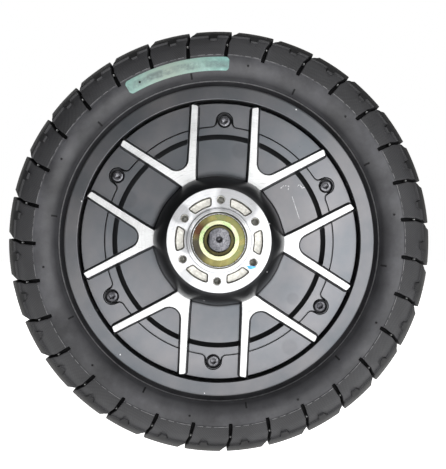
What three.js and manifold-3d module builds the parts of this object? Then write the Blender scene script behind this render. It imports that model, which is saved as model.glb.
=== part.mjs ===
// Hub motor wheel for a small electric vehicle, in millimetres.
//
// The axle lies along Y and the wheel's centre is the origin, with +Z up.
// The brake side, with its removable side cover, faces -Y; the cable side faces +Y.
// Heights measured outwards from the wheel's mid-plane are "out" values, so a ring at
// out = 24 on the brake side lies at y = -24.

import * as THREE from 'three';
import { mergeVertices } from 'three/addons/utils/BufferGeometryUtils.js';
import Module from 'manifold-3d';

const wasm = await Module();
wasm.setup();

// ---------------------------------------------------------------- driving dimensions

const RIM_SEGMENTS = 36;         // facets round the rim, side cover and flux ring
const TYRE_SEGMENTS = 40;        // facets round the tyre
const SMALL_SEGMENTS = 24;       // facets round the axle, bearings and spacers
const FIT_GAP = 0.15;            // radial gap left between two pressed or screwed parts
const FACE_GAP = 0.3;            // gap left between two faces that rest on each other
const ROTOR_REST = 2.7;          // degrees the rotor stands turned about +Y at rest

const TYRE_RADIUS = 127.5;
const BEAD_SEAT_RADIUS = 82.5;
const FLANGE_RADIUS = 87.7;
const FLANGE_OUT = 29;
const FLANGE_THICKNESS = 5;
const DROP_CENTRE_RADIUS = 76;
const RECESS_RADIUS = 80;

const DRUM_RADIUS = 64.7;        // bore of the rim that holds the flux ring
const COVER_SEAT_OUT = 19;       // shoulder of the rim that the side cover is screwed to
const WEB_INNER_OUT = 18.8;      // inner faces of the side cover and the rear wall

const COVER_RADIUS = 78.8;
const COVER_OUT = 24;            // face of the cover outside its thin line
const PAD_OUT = 24.6;            // raised pad between the thin line and the step
const PAD_RADIUS = 65.3;
const EAR_RADIUS = 4.6;
const STEP_TOP_RADIUS = 60.6;
const STEP_FOOT_RADIUS = 58;
const WELL_OUT = 22.5;           // face of the cover between the step and the hub

const SPOKE_OUT = 28.2;
const SPOKE_WIDTH = 3.8;
const SPOKE_OFFSET = 17.2;       // from the wheel's centre to the middle line of an arm
const SPOKE_ANGLE = 30;          // degrees between an arm and the axis of its pair
const SPOKE_END_RADIUS = 78.4;
const CROTCH_RADIUS = 7;
const RAMP_HALF_WIDTH = 5.2;

const HUB_FOOT_RADIUS = 36.6;
const HUB_FACE_RADIUS = 28.1;
const HUB_FACE_OUT = 47;
const SPIGOT_RADIUS = 17.5;
const SPIGOT_OUT = 48.5;
const HUB_BORE_RADIUS = 15;
const DISC_BOLT_RADIUS = 22;
const DISC_HOLE_RADIUS = 2.1;
const DISC_HOLE_DEPTH = 12;
const POCKET_INNER_RADIUS = 18.9;
const POCKET_OUTER_RADIUS = 23.7;
const POCKET_INNER_HALF_ANGLE = 14;
const POCKET_OUTER_HALF_ANGLE = 17;
const POCKET_DEPTH = 2;

const SCREW_CIRCLE_RADIUS = 68.8;
const SCREW_HEAD_RADIUS = 3.5;
const SCREW_HEAD_OUT = 24.3;
const SCREW_SEAT_OUT = 21.5;
const SCREW_SHANK_RADIUS = 1.9;
const SCREW_TIP_OUT = 8.5;
const SCREW_KEY_FLATS = 3;       // across the flats of the socket
const COUNTERBORE_RADIUS = 3.8;

const REAR_WEB_OUT = 24;
const REAR_RIB_OUT = 26.4;
const REAR_RIB_WIDTH = 3.2;
const REAR_BOSS_FOOT_RADIUS = 35;
const REAR_BOSS_RADIUS = 25.5;
const REAR_BOSS_OUT = 44;

const BEARING_OUTER_RADIUS = 17.5;
const BEARING_BORE_RADIUS = 7.5;
const BEARING_INNER_OUT = 27;
const BEARING_WIDTH = 11;
const BALL_COUNT = 8;
const BALL_CIRCLE_RADIUS = 12.5;
const BALL_RADIUS = 2.8;
const RACE_GROOVE_RADIUS = 3.15;

const AXLE_HALF_LENGTH = 80;
const AXLE_THREAD_RADIUS = 6;
const AXLE_SEAT_RADIUS = 10;
const AXLE_SEAT_OUT = 26.6;
const AXLE_FLATS = 10;
const AXLE_FLAT_START_OUT = 54;
const CABLE_BORE_RADIUS = 3.75;
const CABLE_BORE_END = 15;
const CABLE_EXIT_Y = 20.5;

const SPACER_OUT = 52;
const SPACER_FLANGE_RADIUS = 14.7;
const SPACER_BODY_RADIUS = 10.7;
const SPACER_BORE_RADIUS = 6.2;

const STATOR_RADIUS = 57;
const STATOR_HALF_STACK = 13;
const TOOTH_COUNT = 27;
const SLOT_FOOT_RADIUS = 41;
const STATOR_BORE_RADIUS = 34;
const WINDING_OUT = 17.5;
const MAGNET_COUNT = 30;
const MAGNET_WIDTH = 11.2;
const MAGNET_THICKNESS = 2.2;
const MAGNET_FACE_RADIUS = 57.7;
const FLUX_RING_RADIUS = 60.5;
const FLUX_HALF_WIDTH = 15;

const VALVE_ANGLE = 90;          // degrees round the rim, straight up before the rest turn
const VALVE_SEAT = [80, 10];     // radius and y where the stem leaves the tyre's cavity
const VALVE_EXIT = [72, 26];     // radius and y where it comes out of the rear wall
const VALVE_HOLE_RADIUS = 4;

const BRAKE_SIDE = -1;
const CABLE_SIDE = 1;

// ---------------------------------------------------------------- geometry helpers

const radians = (degrees) => degrees * Math.PI / 180;
const polar = (radius, degrees) => [
  radius * Math.cos(radians(degrees)),
  radius * Math.sin(radians(degrees)),
];

// A closed three.js geometry as a manifold solid.
function solid(geometry) {
  const bare = geometry.clone();
  bare.deleteAttribute('normal');
  bare.deleteAttribute('uv');
  const merged = mergeVertices(bare, 1e-4);
  const index = merged.index.array;
  const triVerts = [];
  for (let i = 0; i < index.length; i += 3) {
    const [a, b, c] = [index[i], index[i + 1], index[i + 2]];
    if (a !== b && b !== c && c !== a) triVerts.push(a, b, c);
  }
  return new wasm.Manifold(new wasm.Mesh({
    numProp: 3,
    vertProperties: new Float32Array(merged.attributes.position.array),
    triVerts: new Uint32Array(triVerts),
  }));
}

function toGeometry(body) {
  const mesh = body.getMesh();
  const geometry = new THREE.BufferGeometry();
  geometry.setAttribute('position', new THREE.BufferAttribute(mesh.vertProperties, 3));
  geometry.setIndex(new THREE.BufferAttribute(mesh.triVerts, 1));
  geometry.computeVertexNormals();
  return geometry;
}

// A ring or disc turned about Y from a closed outline of [radius, y] points, in any order of turn.
function turned(outline, segments) {
  let area = 0;
  outline.forEach(([r, y], i) => {
    const [nextR, nextY] = outline[(i + 1) % outline.length];
    area += r * nextY - nextR * y;
  });
  const points = (area > 0 ? outline : [...outline].reverse()).map((p) => new THREE.Vector2(...p));
  const onAxis = points.findIndex((p) => p.x === 0);
  if (onAxis < 0) {
    points.push(points[0].clone());
  } else {
    while (points[0].x !== 0 || points[points.length - 1].x !== 0) points.push(points.shift());
  }
  return solid(new THREE.LatheGeometry(points, segments));
}

// The same, from [radius, out] points on one side of the wheel.
const turnedOn = (side, outline, segments) => turned(
  outline.map(([r, out]) => [r, side * out]),
  segments,
);

// A shape drawn in the XZ plane, seen from the brake side, as a plate between two y values.
function plate(shape, yFrom, yTo, curveSegments = 8) {
  const geometry = new THREE.ExtrudeGeometry(shape, {
    depth: Math.abs(yTo - yFrom),
    bevelEnabled: false,
    curveSegments,
  });
  geometry.rotateX(Math.PI / 2);
  geometry.translate(0, Math.max(yFrom, yTo), 0);
  return solid(geometry);
}

// A round bar or hole parallel to Y at a place [x, z].
function bar([x, z], radius, yFrom, yTo, segments = 10) {
  const geometry = new THREE.CylinderGeometry(radius, radius, Math.abs(yTo - yFrom), segments);
  geometry.translate(x, (yFrom + yTo) / 2, z);
  return solid(geometry);
}

function shapeOf(points) {
  return new THREE.Shape(points.map(([x, z]) => new THREE.Vector2(x, z)));
}

// Points of an arc round a centre in the XZ plane, in degrees from +X.
function arc([x, z], radius, from, to, steps) {
  return Array.from({ length: steps + 1 }, (_, i) => {
    const [dx, dz] = polar(radius, from + (to - from) * i / steps);
    return [x + dx, z + dz];
  });
}

// A copy turned about Y, so that what lay on +X lies at an angle seen from the brake side.
const spun = (body, degrees) => body.rotate([0, -degrees, 0]);

const joined = (bodies) => bodies.reduce((sum, next) => sum.add(next));

const around = (count, make) => Array.from({ length: count }, (_, i) => make(i * 360 / count, i));

// ---------------------------------------------------------------- materials

const material = (color, roughness, metalness) => (
  new THREE.MeshStandardMaterial({ color, roughness, metalness })
);

const blackPaint = () => material(0x26262a, 0.45, 0.2);
const rubber = () => material(0x2b2c2f, 0.9, 0);
const brightSteel = () => material(0xb9bbbd, 0.35, 0.9);
const darkSteel = () => material(0x55565a, 0.5, 0.8);
const goldZinc = () => material(0xc9a94f, 0.35, 0.85);
const castAluminium = () => material(0xc4c6c8, 0.45, 0.8);

// ---------------------------------------------------------------- tyre and rim

// Half of the tyre's section from the bead over the shoulder to the crown, [radius, out].
const TYRE_SKIN = [
  [BEAD_SEAT_RADIUS + FACE_GAP, 23.7], [88, 23.7], [91, 30.8], [97, 34.5],
  [103, 35], [110, 32.6], [117, 26.8], [122.4, 17], [126.4, 7],
];
const TYRE_LINING = [
  [119.8, 0], [116, 18], [103, 29.5], [92, 25.5], [BEAD_SEAT_RADIUS + FACE_GAP, 13.5],
];

function makeTyre() {
  const front = TYRE_SKIN.map(([r, out]) => [r, -out]);
  const rear = [...TYRE_SKIN].reverse();
  const liningRear = [...TYRE_LINING].reverse();
  const liningFront = TYRE_LINING.slice(1).map(([r, out]) => [r, -out]);
  const outline = [...front, [TYRE_RADIUS, 0], ...rear, ...liningRear, ...liningFront];
  return turned(outline, TYRE_SEGMENTS);
}

const FLANGE_SECTION = [
  [RECESS_RADIUS, FLANGE_OUT], [FLANGE_RADIUS - 0.7, FLANGE_OUT], [FLANGE_RADIUS, FLANGE_OUT - 0.7],
  [FLANGE_RADIUS, FLANGE_OUT - FLANGE_THICKNESS],
  [BEAD_SEAT_RADIUS, FLANGE_OUT - FLANGE_THICKNESS], [BEAD_SEAT_RADIUS, 13], [DROP_CENTRE_RADIUS, 10],
];

const bearingOuterOut = BEARING_INNER_OUT + BEARING_WIDTH;
const bearingSeatRadius = BEARING_OUTER_RADIUS + FIT_GAP;

// The bore of a hub from its mouth in to the bearing's seat and the inner face of its wall.
const hubBore = (mouthOut) => [
  [HUB_BORE_RADIUS, mouthOut], [HUB_BORE_RADIUS, bearingOuterOut + FACE_GAP],
  [bearingSeatRadius, bearingOuterOut + FACE_GAP], [bearingSeatRadius, BEARING_INNER_OUT - 1],
  [24, BEARING_INNER_OUT - 1], [29, WEB_INNER_OUT],
];

function valveAxis() {
  const [seat, exit] = [VALVE_SEAT, VALVE_EXIT].map(([r, y]) => {
    const [x, z] = polar(r, VALVE_ANGLE);
    return new THREE.Vector3(x, y, z);
  });
  return { seat, direction: exit.clone().sub(seat).normalize() };
}

// A body turned about Y moved onto the valve's axis, with its own y = 0 at the seat.
function onValveAxis(body) {
  const { seat, direction } = valveAxis();
  const turn = new THREE.Quaternion().setFromUnitVectors(new THREE.Vector3(0, 1, 0), direction);
  const geometry = toGeometry(body);
  geometry.applyQuaternion(turn);
  geometry.translate(seat.x, seat.y, seat.z);
  return solid(geometry);
}

function makeRim() {
  const drum = turned([
    ...FLANGE_SECTION.map(([r, out]) => [r, -out]),
    ...[...FLANGE_SECTION].reverse(),
    [RECESS_RADIUS - 1, REAR_WEB_OUT],
    [REAR_BOSS_FOOT_RADIUS, REAR_WEB_OUT],
    [REAR_BOSS_FOOT_RADIUS - 3, REAR_WEB_OUT + 10],
    [REAR_BOSS_RADIUS + 1, REAR_BOSS_OUT - 1.5],
    [REAR_BOSS_RADIUS - 1, REAR_BOSS_OUT],
    ...hubBore(REAR_BOSS_OUT),
    [DRUM_RADIUS, WEB_INNER_OUT],
    [DRUM_RADIUS, -COVER_SEAT_OUT],
    [RECESS_RADIUS, -COVER_SEAT_OUT],
  ], RIM_SEGMENTS);

  const rib = plate(
    shapeOf([
      [REAR_BOSS_FOOT_RADIUS - 2, -REAR_RIB_WIDTH / 2], [RECESS_RADIUS - 1.5, -REAR_RIB_WIDTH / 2],
      [RECESS_RADIUS - 1.5, REAR_RIB_WIDTH / 2], [REAR_BOSS_FOOT_RADIUS - 2, REAR_RIB_WIDTH / 2],
    ]),
    REAR_WEB_OUT - 1,
    REAR_RIB_OUT,
  );
  const ribs = around(12, (angle) => spun(rib, angle + 15));
  const screwHoles = around(6, (angle) => bar(
    polar(SCREW_CIRCLE_RADIUS, angle + 30),
    SCREW_SHANK_RADIUS + FIT_GAP,
    -SCREW_TIP_OUT + 1,
    -COVER_SEAT_OUT - 1,
  ));
  const valveHole = onValveAxis(turned(
    [[0, -14], [VALVE_HOLE_RADIUS, -14], [VALVE_HOLE_RADIUS, 40], [0, 40]],
    16,
  ));
  return joined([drum, ...ribs]).subtract(joined([...screwHoles, valveHole]));
}

// Rubber-footed stem: a bulb inside the tyre, the neck in the rim, and the threaded tube outside.
function makeValveStem() {
  return onValveAxis(turned([
    [1.2, -9.5], [5, -9.5], [5.6, -7.5], [3.7, -4], [3.7, 18.5], [5, 19], [5, 21], [3.9, 22],
    [3.9, 28], [2.6, 29], [2.6, 31], [1.2, 31],
  ], 16));
}

function makeValveCap() {
  return onValveAxis(turned(
    [[0, 31.3], [3.6, 31.3], [3.8, 33], [3.8, 40.5], [3, 42], [0, 42]],
    12,
  ));
}

// ---------------------------------------------------------------- side cover

// One arm of a spoke pair: its middle line runs at SPOKE_ANGLE to the pair's axis.
function spokeOutline() {
  const half = SPOKE_WIDTH / 2;
  const direction = polar(1, SPOKE_ANGLE);
  const side = polar(1, SPOKE_ANGLE - 90);
  const at = (along, across) => [
    direction[0] * along + side[0] * across,
    direction[1] * along + side[1] * across,
  ];
  const endAlong = Math.sqrt(SPOKE_END_RADIUS ** 2 - SPOKE_OFFSET ** 2) - half;
  const end = at(endAlong, SPOKE_OFFSET);
  const innerEdge = SPOKE_OFFSET + half;
  const crotchCentre = [(innerEdge + CROTCH_RADIUS) / Math.sin(radians(SPOKE_ANGLE)), 0];
  const upper = [
    at(28, SPOKE_OFFSET - half),
    ...arc(end, half, SPOKE_ANGLE + 90, SPOKE_ANGLE - 90, 4),
    ...arc(crotchCentre, CROTCH_RADIUS, SPOKE_ANGLE + 90, 180, 3),
  ];
  const lower = [...upper].reverse().slice(1).map(([x, z]) => [x, -z]);
  return [...upper, ...lower];
}

// A ramp of cast metal from the foot of a spoke pair up the side of the hub.
function makeRamp() {
  const profile = new THREE.Shape([
    new THREE.Vector2(26, WELL_OUT - 1), new THREE.Vector2(37.9, WELL_OUT - 1),
    new THREE.Vector2(37.9, SPOKE_OUT - 0.6), new THREE.Vector2(35.3, 36.5),
    new THREE.Vector2(31, 43.9), new THREE.Vector2(26, 43.9),
  ]);
  const geometry = new THREE.ExtrudeGeometry(profile, {
    depth: 2 * RAMP_HALF_WIDTH,
    bevelEnabled: false,
  });
  geometry.translate(0, 0, -RAMP_HALF_WIDTH);
  geometry.rotateX(Math.PI);
  return solid(geometry);
}

function pocketShape() {
  return shapeOf([
    ...arc([0, 0], POCKET_INNER_RADIUS, -POCKET_INNER_HALF_ANGLE, POCKET_INNER_HALF_ANGLE, 3),
    ...arc([0, 0], POCKET_OUTER_RADIUS, POCKET_OUTER_HALF_ANGLE, -POCKET_OUTER_HALF_ANGLE, 3),
  ]);
}

function makeFrontCover() {
  const disc = turnedOn(BRAKE_SIDE, [
    [COVER_RADIUS, COVER_SEAT_OUT + FACE_GAP], [COVER_RADIUS, COVER_OUT - 0.6],
    [COVER_RADIUS - 0.6, COVER_OUT],
    [PAD_RADIUS + 0.4, COVER_OUT], [PAD_RADIUS, PAD_OUT], [STEP_TOP_RADIUS, PAD_OUT],
    [STEP_FOOT_RADIUS, WELL_OUT], [HUB_FOOT_RADIUS, WELL_OUT], [35.8, 31.5], [34.2, 38.6],
    [31.4, 44], [HUB_FACE_RADIUS, HUB_FACE_OUT],
    [SPIGOT_RADIUS, HUB_FACE_OUT], [SPIGOT_RADIUS, SPIGOT_OUT],
    ...hubBore(SPIGOT_OUT),
    [61.5, WEB_INNER_OUT], [61.5, 16.4], [DRUM_RADIUS - 0.4, 16.4],
    [DRUM_RADIUS - 0.4, COVER_SEAT_OUT + FACE_GAP],
  ], RIM_SEGMENTS);

  const spokes = plate(shapeOf(spokeOutline()), -WELL_OUT + 1, -SPOKE_OUT);
  const ramp = makeRamp();
  const pairs = around(6, (angle) => [spun(spokes, angle), spun(ramp, angle)]).flat();
  const ears = around(6, (angle) => bar(
    polar(SCREW_CIRCLE_RADIUS, angle + 30), EAR_RADIUS, -COVER_OUT + 1, -PAD_OUT, 14,
  ));

  const discHoles = around(6, (angle) => bar(
    polar(DISC_BOLT_RADIUS, angle + 30),
    DISC_HOLE_RADIUS,
    -HUB_FACE_OUT - 1,
    -HUB_FACE_OUT + DISC_HOLE_DEPTH,
  ));
  const pocket = plate(pocketShape(), -HUB_FACE_OUT - 1, -HUB_FACE_OUT + POCKET_DEPTH);
  const pockets = around(6, (angle) => spun(pocket, angle));
  const counterbores = around(6, (angle) => bar(
    polar(SCREW_CIRCLE_RADIUS, angle + 30), COUNTERBORE_RADIUS, -SCREW_SEAT_OUT, -PAD_OUT - 1, 14,
  ));
  const clearanceHoles = around(6, (angle) => bar(
    polar(SCREW_CIRCLE_RADIUS, angle + 30),
    SCREW_SHANK_RADIUS + FACE_GAP,
    -COVER_SEAT_OUT,
    -SCREW_SEAT_OUT - 1,
  ));
  return joined([disc, ...pairs, ...ears])
    .subtract(joined([...discHoles, ...pockets, ...counterbores, ...clearanceHoles]));
}

function makeCoverScrew(angle) {
  const screw = turnedOn(BRAKE_SIDE, [
    [0, SCREW_HEAD_OUT], [SCREW_HEAD_RADIUS - 0.4, SCREW_HEAD_OUT],
    [SCREW_HEAD_RADIUS, SCREW_HEAD_OUT - 0.4],
    [SCREW_HEAD_RADIUS, SCREW_SEAT_OUT + FIT_GAP], [SCREW_SHANK_RADIUS, SCREW_SEAT_OUT + FIT_GAP],
    [SCREW_SHANK_RADIUS, SCREW_TIP_OUT], [0, SCREW_TIP_OUT],
  ], 12);
  const keyRadius = SCREW_KEY_FLATS / 2 / Math.cos(Math.PI / 6);
  const socket = bar([0, 0], keyRadius, -SCREW_HEAD_OUT - 1, -SCREW_HEAD_OUT + 1.8, 6);
  const [x, z] = polar(SCREW_CIRCLE_RADIUS, angle);
  return screw.subtract(socket).translate([x, 0, z]);
}

// ---------------------------------------------------------------- motor

function makeFluxRing() {
  const outer = DRUM_RADIUS - FACE_GAP;
  return turned([
    [FLUX_RING_RADIUS, -FLUX_HALF_WIDTH], [outer, -FLUX_HALF_WIDTH],
    [outer, FLUX_HALF_WIDTH], [FLUX_RING_RADIUS, FLUX_HALF_WIDTH],
  ], RIM_SEGMENTS);
}

function makeMagnet() {
  const box = new THREE.BoxGeometry(MAGNET_THICKNESS, 2 * STATOR_HALF_STACK, MAGNET_WIDTH);
  box.translate(MAGNET_FACE_RADIUS + MAGNET_THICKNESS / 2, 0, 0);
  return solid(box);
}

// Lamination stack: T-shaped teeth on a yoke.
function makeStatorCore() {
  const pitch = 360 / TOOTH_COUNT;
  const headHalfAngle = pitch / 2 - 1;
  const neckHalfWidth = 2.4;
  const outline = around(TOOTH_COUNT, (angle) => {
    const neckAt = (radius) => Math.asin(neckHalfWidth / radius) * 180 / Math.PI;
    return [
      polar(SLOT_FOOT_RADIUS, angle - neckAt(SLOT_FOOT_RADIUS)),
      polar(53.5, angle - neckAt(53.5)),
      polar(55.5, angle - headHalfAngle),
      polar(STATOR_RADIUS, angle - headHalfAngle),
      polar(STATOR_RADIUS, angle + headHalfAngle),
      polar(55.5, angle + headHalfAngle),
      polar(53.5, angle + neckAt(53.5)),
      polar(SLOT_FOOT_RADIUS, angle + neckAt(SLOT_FOOT_RADIUS)),
    ];
  }).flat();
  const shape = shapeOf(outline);
  shape.holes.push(shapeOf(arc([0, 0], STATOR_BORE_RADIUS, 360, 0, 48).slice(1)));
  return plate(shape, -STATOR_HALF_STACK, STATOR_HALF_STACK);
}

// Aluminium carrier between the axle and the laminations, with six lightening windows.
function makeStatorCarrier() {
  const shape = shapeOf(arc([0, 0], STATOR_BORE_RADIUS - FACE_GAP, 0, 360, 48).slice(1));
  const bore = arc([0, 0], AXLE_SEAT_RADIUS + 2 * FIT_GAP, 360, 0, SMALL_SEGMENTS);
  shape.holes.push(shapeOf(bore.slice(1)));
  around(6, (angle) => shape.holes.push(shapeOf([
    ...arc([0, 0], 29.5, angle - 22, angle + 22, 6),
    ...arc([0, 0], 17, angle + 16, angle - 16, 3),
  ])));
  return plate(shape, -STATOR_HALF_STACK + 2, STATOR_HALF_STACK - 2);
}

// The coil heads on one face of the stack: one rounded lobe over each tooth.
function makeWinding(side) {
  const pitch = 360 / TOOTH_COUNT;
  const outer = around(TOOTH_COUNT, (angle) => [
    polar(50.5, angle - pitch / 2), polar(54, angle - pitch / 4), polar(54, angle + pitch / 4),
  ]).flat();
  const shape = shapeOf(outer);
  shape.holes.push(shapeOf(arc([0, 0], SLOT_FOOT_RADIUS + 0.5, 360, 0, TOOTH_COUNT * 2).slice(1)));
  return plate(shape, side * (STATOR_HALF_STACK + FACE_GAP), side * WINDING_OUT);
}

// Arc-shaped circuit board with the three rotor position sensors.
function makeHallBoard() {
  const board = plate(
    shapeOf([...arc([0, 0], 35, 60, 120, 6), ...arc([0, 0], 40.5, 120, 60, 6)]),
    STATOR_HALF_STACK + FACE_GAP,
    STATOR_HALF_STACK + 1.9,
  );
  const sensors = [75, 90, 105].map((angle) => {
    const box = new THREE.BoxGeometry(3, 2, 4);
    box.translate(38, STATOR_HALF_STACK + 2.6, 0);
    return spun(solid(box), angle);
  });
  return joined([board, ...sensors]);
}

// ---------------------------------------------------------------- axle and bearings

function makeAxle() {
  const half = [
    [AXLE_SEAT_RADIUS, 0], [AXLE_SEAT_RADIUS, AXLE_SEAT_OUT - 0.5],
    [AXLE_SEAT_RADIUS - 0.5, AXLE_SEAT_OUT],
    [BEARING_BORE_RADIUS, AXLE_SEAT_OUT], [BEARING_BORE_RADIUS, bearingOuterOut - 0.3],
    [AXLE_THREAD_RADIUS, bearingOuterOut + 0.1], [AXLE_THREAD_RADIUS, AXLE_HALF_LENGTH - 1],
    [AXLE_THREAD_RADIUS - 1, AXLE_HALF_LENGTH],
  ];
  const centreDrill = [
    [1.9, AXLE_HALF_LENGTH], [0.9, AXLE_HALF_LENGTH - 1.2], [0.9, AXLE_HALF_LENGTH - 4],
    [0, AXLE_HALF_LENGTH - 4.5],
  ];
  const front = turnedOn(BRAKE_SIDE, [[0, 0], ...half, ...centreDrill], SMALL_SEGMENTS);
  const rear = turnedOn(CABLE_SIDE, [[0, 0], ...half, [0, AXLE_HALF_LENGTH]], SMALL_SEGMENTS);
  const cableBore = bar([0, 0], CABLE_BORE_RADIUS, CABLE_BORE_END, AXLE_HALF_LENGTH + 1, SMALL_SEGMENTS);
  const cableExit = new THREE.BoxGeometry(6, 8, 14);
  cableExit.translate(0, CABLE_EXIT_Y, 7);
  const cuts = [cableBore, solid(cableExit)];
  for (const side of [BRAKE_SIDE, CABLE_SIDE]) {
    for (const hand of [-1, 1]) {
      const length = AXLE_HALF_LENGTH - AXLE_FLAT_START_OUT + 1;
      const flat = new THREE.BoxGeometry(4, length, 14);
      flat.translate(hand * (AXLE_FLATS / 2 + 2), side * (AXLE_FLAT_START_OUT + length / 2), 0);
      cuts.push(solid(flat));
    }
  }
  return front.add(rear).subtract(joined(cuts));
}

// Zinc-plated flanged spacer that bears on the brake-side inner race and the fork.
function makeFrontSpacer() {
  const foot = bearingOuterOut + 0.3;
  return turnedOn(BRAKE_SIDE, [
    [SPACER_BORE_RADIUS + FIT_GAP, foot], [9.8, foot], [9.8, foot + 0.4],
    [SPACER_FLANGE_RADIUS - 0.3, foot + 0.4],
    [SPACER_FLANGE_RADIUS, foot + 0.7], [SPACER_FLANGE_RADIUS, 39.8], [SPACER_FLANGE_RADIUS - 0.4, 40.2],
    [SPACER_BODY_RADIUS + 0.8, 40.2], [SPACER_BODY_RADIUS, 41], [SPACER_BODY_RADIUS, SPACER_OUT - 0.5],
    [SPACER_BODY_RADIUS - 0.5, SPACER_OUT], [8.3, SPACER_OUT], [8.3, 47],
    [SPACER_BORE_RADIUS + FIT_GAP, 47],
  ], SMALL_SEGMENTS);
}

function makeRearSpacer() {
  const foot = bearingOuterOut + 0.3;
  return turnedOn(CABLE_SIDE, [
    [SPACER_BORE_RADIUS + FIT_GAP, foot], [9, foot], [9, SPACER_OUT - 0.5], [8.5, SPACER_OUT],
    [SPACER_BORE_RADIUS + FIT_GAP, SPACER_OUT],
  ], SMALL_SEGMENTS);
}

// Lip seal pressed into the mouth of the rear hub, running on the spacer.
function makeRearSeal() {
  return turnedOn(CABLE_SIDE, [
    [HUB_BORE_RADIUS - FIT_GAP, 39], [HUB_BORE_RADIUS - FIT_GAP, 43.6], [10.6, 43.6], [9.4, 42.6],
    [9.4, 41.8], [11, 40.6], [11, 39],
  ], SMALL_SEGMENTS);
}

// Points of a race's ball groove, seen from the ball's centre, in degrees.
function groove(from, to) {
  const middle = BEARING_INNER_OUT + BEARING_WIDTH / 2;
  return arc([BALL_CIRCLE_RADIUS, middle], RACE_GROOVE_RADIUS, from, to, 3);
}

function makeInnerRace(side) {
  const bore = BEARING_BORE_RADIUS + FIT_GAP;
  return turnedOn(side, [
    [bore, BEARING_INNER_OUT], [10.3, BEARING_INNER_OUT], ...groove(226, 134),
    [10.3, bearingOuterOut], [bore, bearingOuterOut],
  ], SMALL_SEGMENTS);
}

function makeOuterRace(side) {
  const outside = BEARING_OUTER_RADIUS - 0.05;
  return turnedOn(side, [
    [outside, BEARING_INNER_OUT], [outside, bearingOuterOut], [14.7, bearingOuterOut],
    ...groove(46, -46), [14.7, BEARING_INNER_OUT],
  ], SMALL_SEGMENTS);
}

// Ball set: the balls in their cage ring.
function makeBalls(side) {
  const middle = BEARING_INNER_OUT + BEARING_WIDTH / 2;
  const cage = turnedOn(side, [
    [11.9, middle - 1.8], [13.1, middle - 1.8], [13.1, middle + 1.8], [11.9, middle + 1.8],
  ], SMALL_SEGMENTS);
  const balls = around(BALL_COUNT, (angle) => {
    const [x, z] = polar(BALL_CIRCLE_RADIUS, angle);
    const ball = new THREE.SphereGeometry(BALL_RADIUS, 6, 4);
    ball.translate(x, side * middle, z);
    return solid(ball);
  });
  return joined([cage, ...balls]);
}

// ---------------------------------------------------------------- assembly

const hubMotorWheel = new THREE.Group();
const axleAndStator = new THREE.Group();
const rotor = new THREE.Group();
rotor.rotation.y = radians(ROTOR_REST);
hubMotorWheel.add(axleAndStator, rotor);

function place(group, name, body, look) {
  const mesh = new THREE.Mesh(toGeometry(body), look);
  mesh.name = name;
  group.add(mesh);
}

place(axleAndStator, 'axle', makeAxle(), darkSteel());
place(axleAndStator, 'front_spacer', makeFrontSpacer(), goldZinc());
place(axleAndStator, 'rear_spacer', makeRearSpacer(), darkSteel());
place(axleAndStator, 'stator_core', makeStatorCore(), darkSteel());
place(axleAndStator, 'stator_carrier', makeStatorCarrier(), castAluminium());
place(axleAndStator, 'winding_front', makeWinding(BRAKE_SIDE), material(0xa5572a, 0.4, 0.6));
place(axleAndStator, 'winding_rear', makeWinding(CABLE_SIDE), material(0xa5572a, 0.4, 0.6));
place(axleAndStator, 'hall_board', makeHallBoard(), material(0x1f5a34, 0.5, 0));
place(axleAndStator, 'inner_race_front', makeInnerRace(BRAKE_SIDE), brightSteel());
place(axleAndStator, 'inner_race_rear', makeInnerRace(CABLE_SIDE), brightSteel());
place(axleAndStator, 'balls_front', makeBalls(BRAKE_SIDE), brightSteel());
place(axleAndStator, 'balls_rear', makeBalls(CABLE_SIDE), brightSteel());

place(rotor, 'rim', makeRim(), blackPaint());
place(rotor, 'tyre', makeTyre(), rubber());
place(rotor, 'front_cover', makeFrontCover(), blackPaint());
around(6, (angle, i) => place(rotor, `cover_screw_${i + 1}`, makeCoverScrew(angle + 30), darkSteel()));
place(rotor, 'flux_ring', makeFluxRing(), darkSteel());
around(MAGNET_COUNT, (angle, i) => {
  const number = String(i + 1).padStart(2, '0');
  place(rotor, `magnet_${number}`, spun(makeMagnet(), angle), brightSteel());
});
place(rotor, 'outer_race_front', makeOuterRace(BRAKE_SIDE), brightSteel());
place(rotor, 'outer_race_rear', makeOuterRace(CABLE_SIDE), brightSteel());
place(rotor, 'rear_seal', makeRearSeal(), rubber());
place(rotor, 'valve_stem', makeValveStem(), rubber());
place(rotor, 'valve_cap', makeValveCap(), rubber());

export default hubMotorWheel;
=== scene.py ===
"""Looks of the hub motor wheel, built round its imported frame.

The axle lies along Y and the brake side faces -Y. Lengths are in millimetres until a mesh is
made, and "out" is a distance from the wheel's mid-plane towards the side that is being built.
"""
import math

import bmesh
import bpy
import numpy as np
from mathutils import Matrix, Vector


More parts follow.
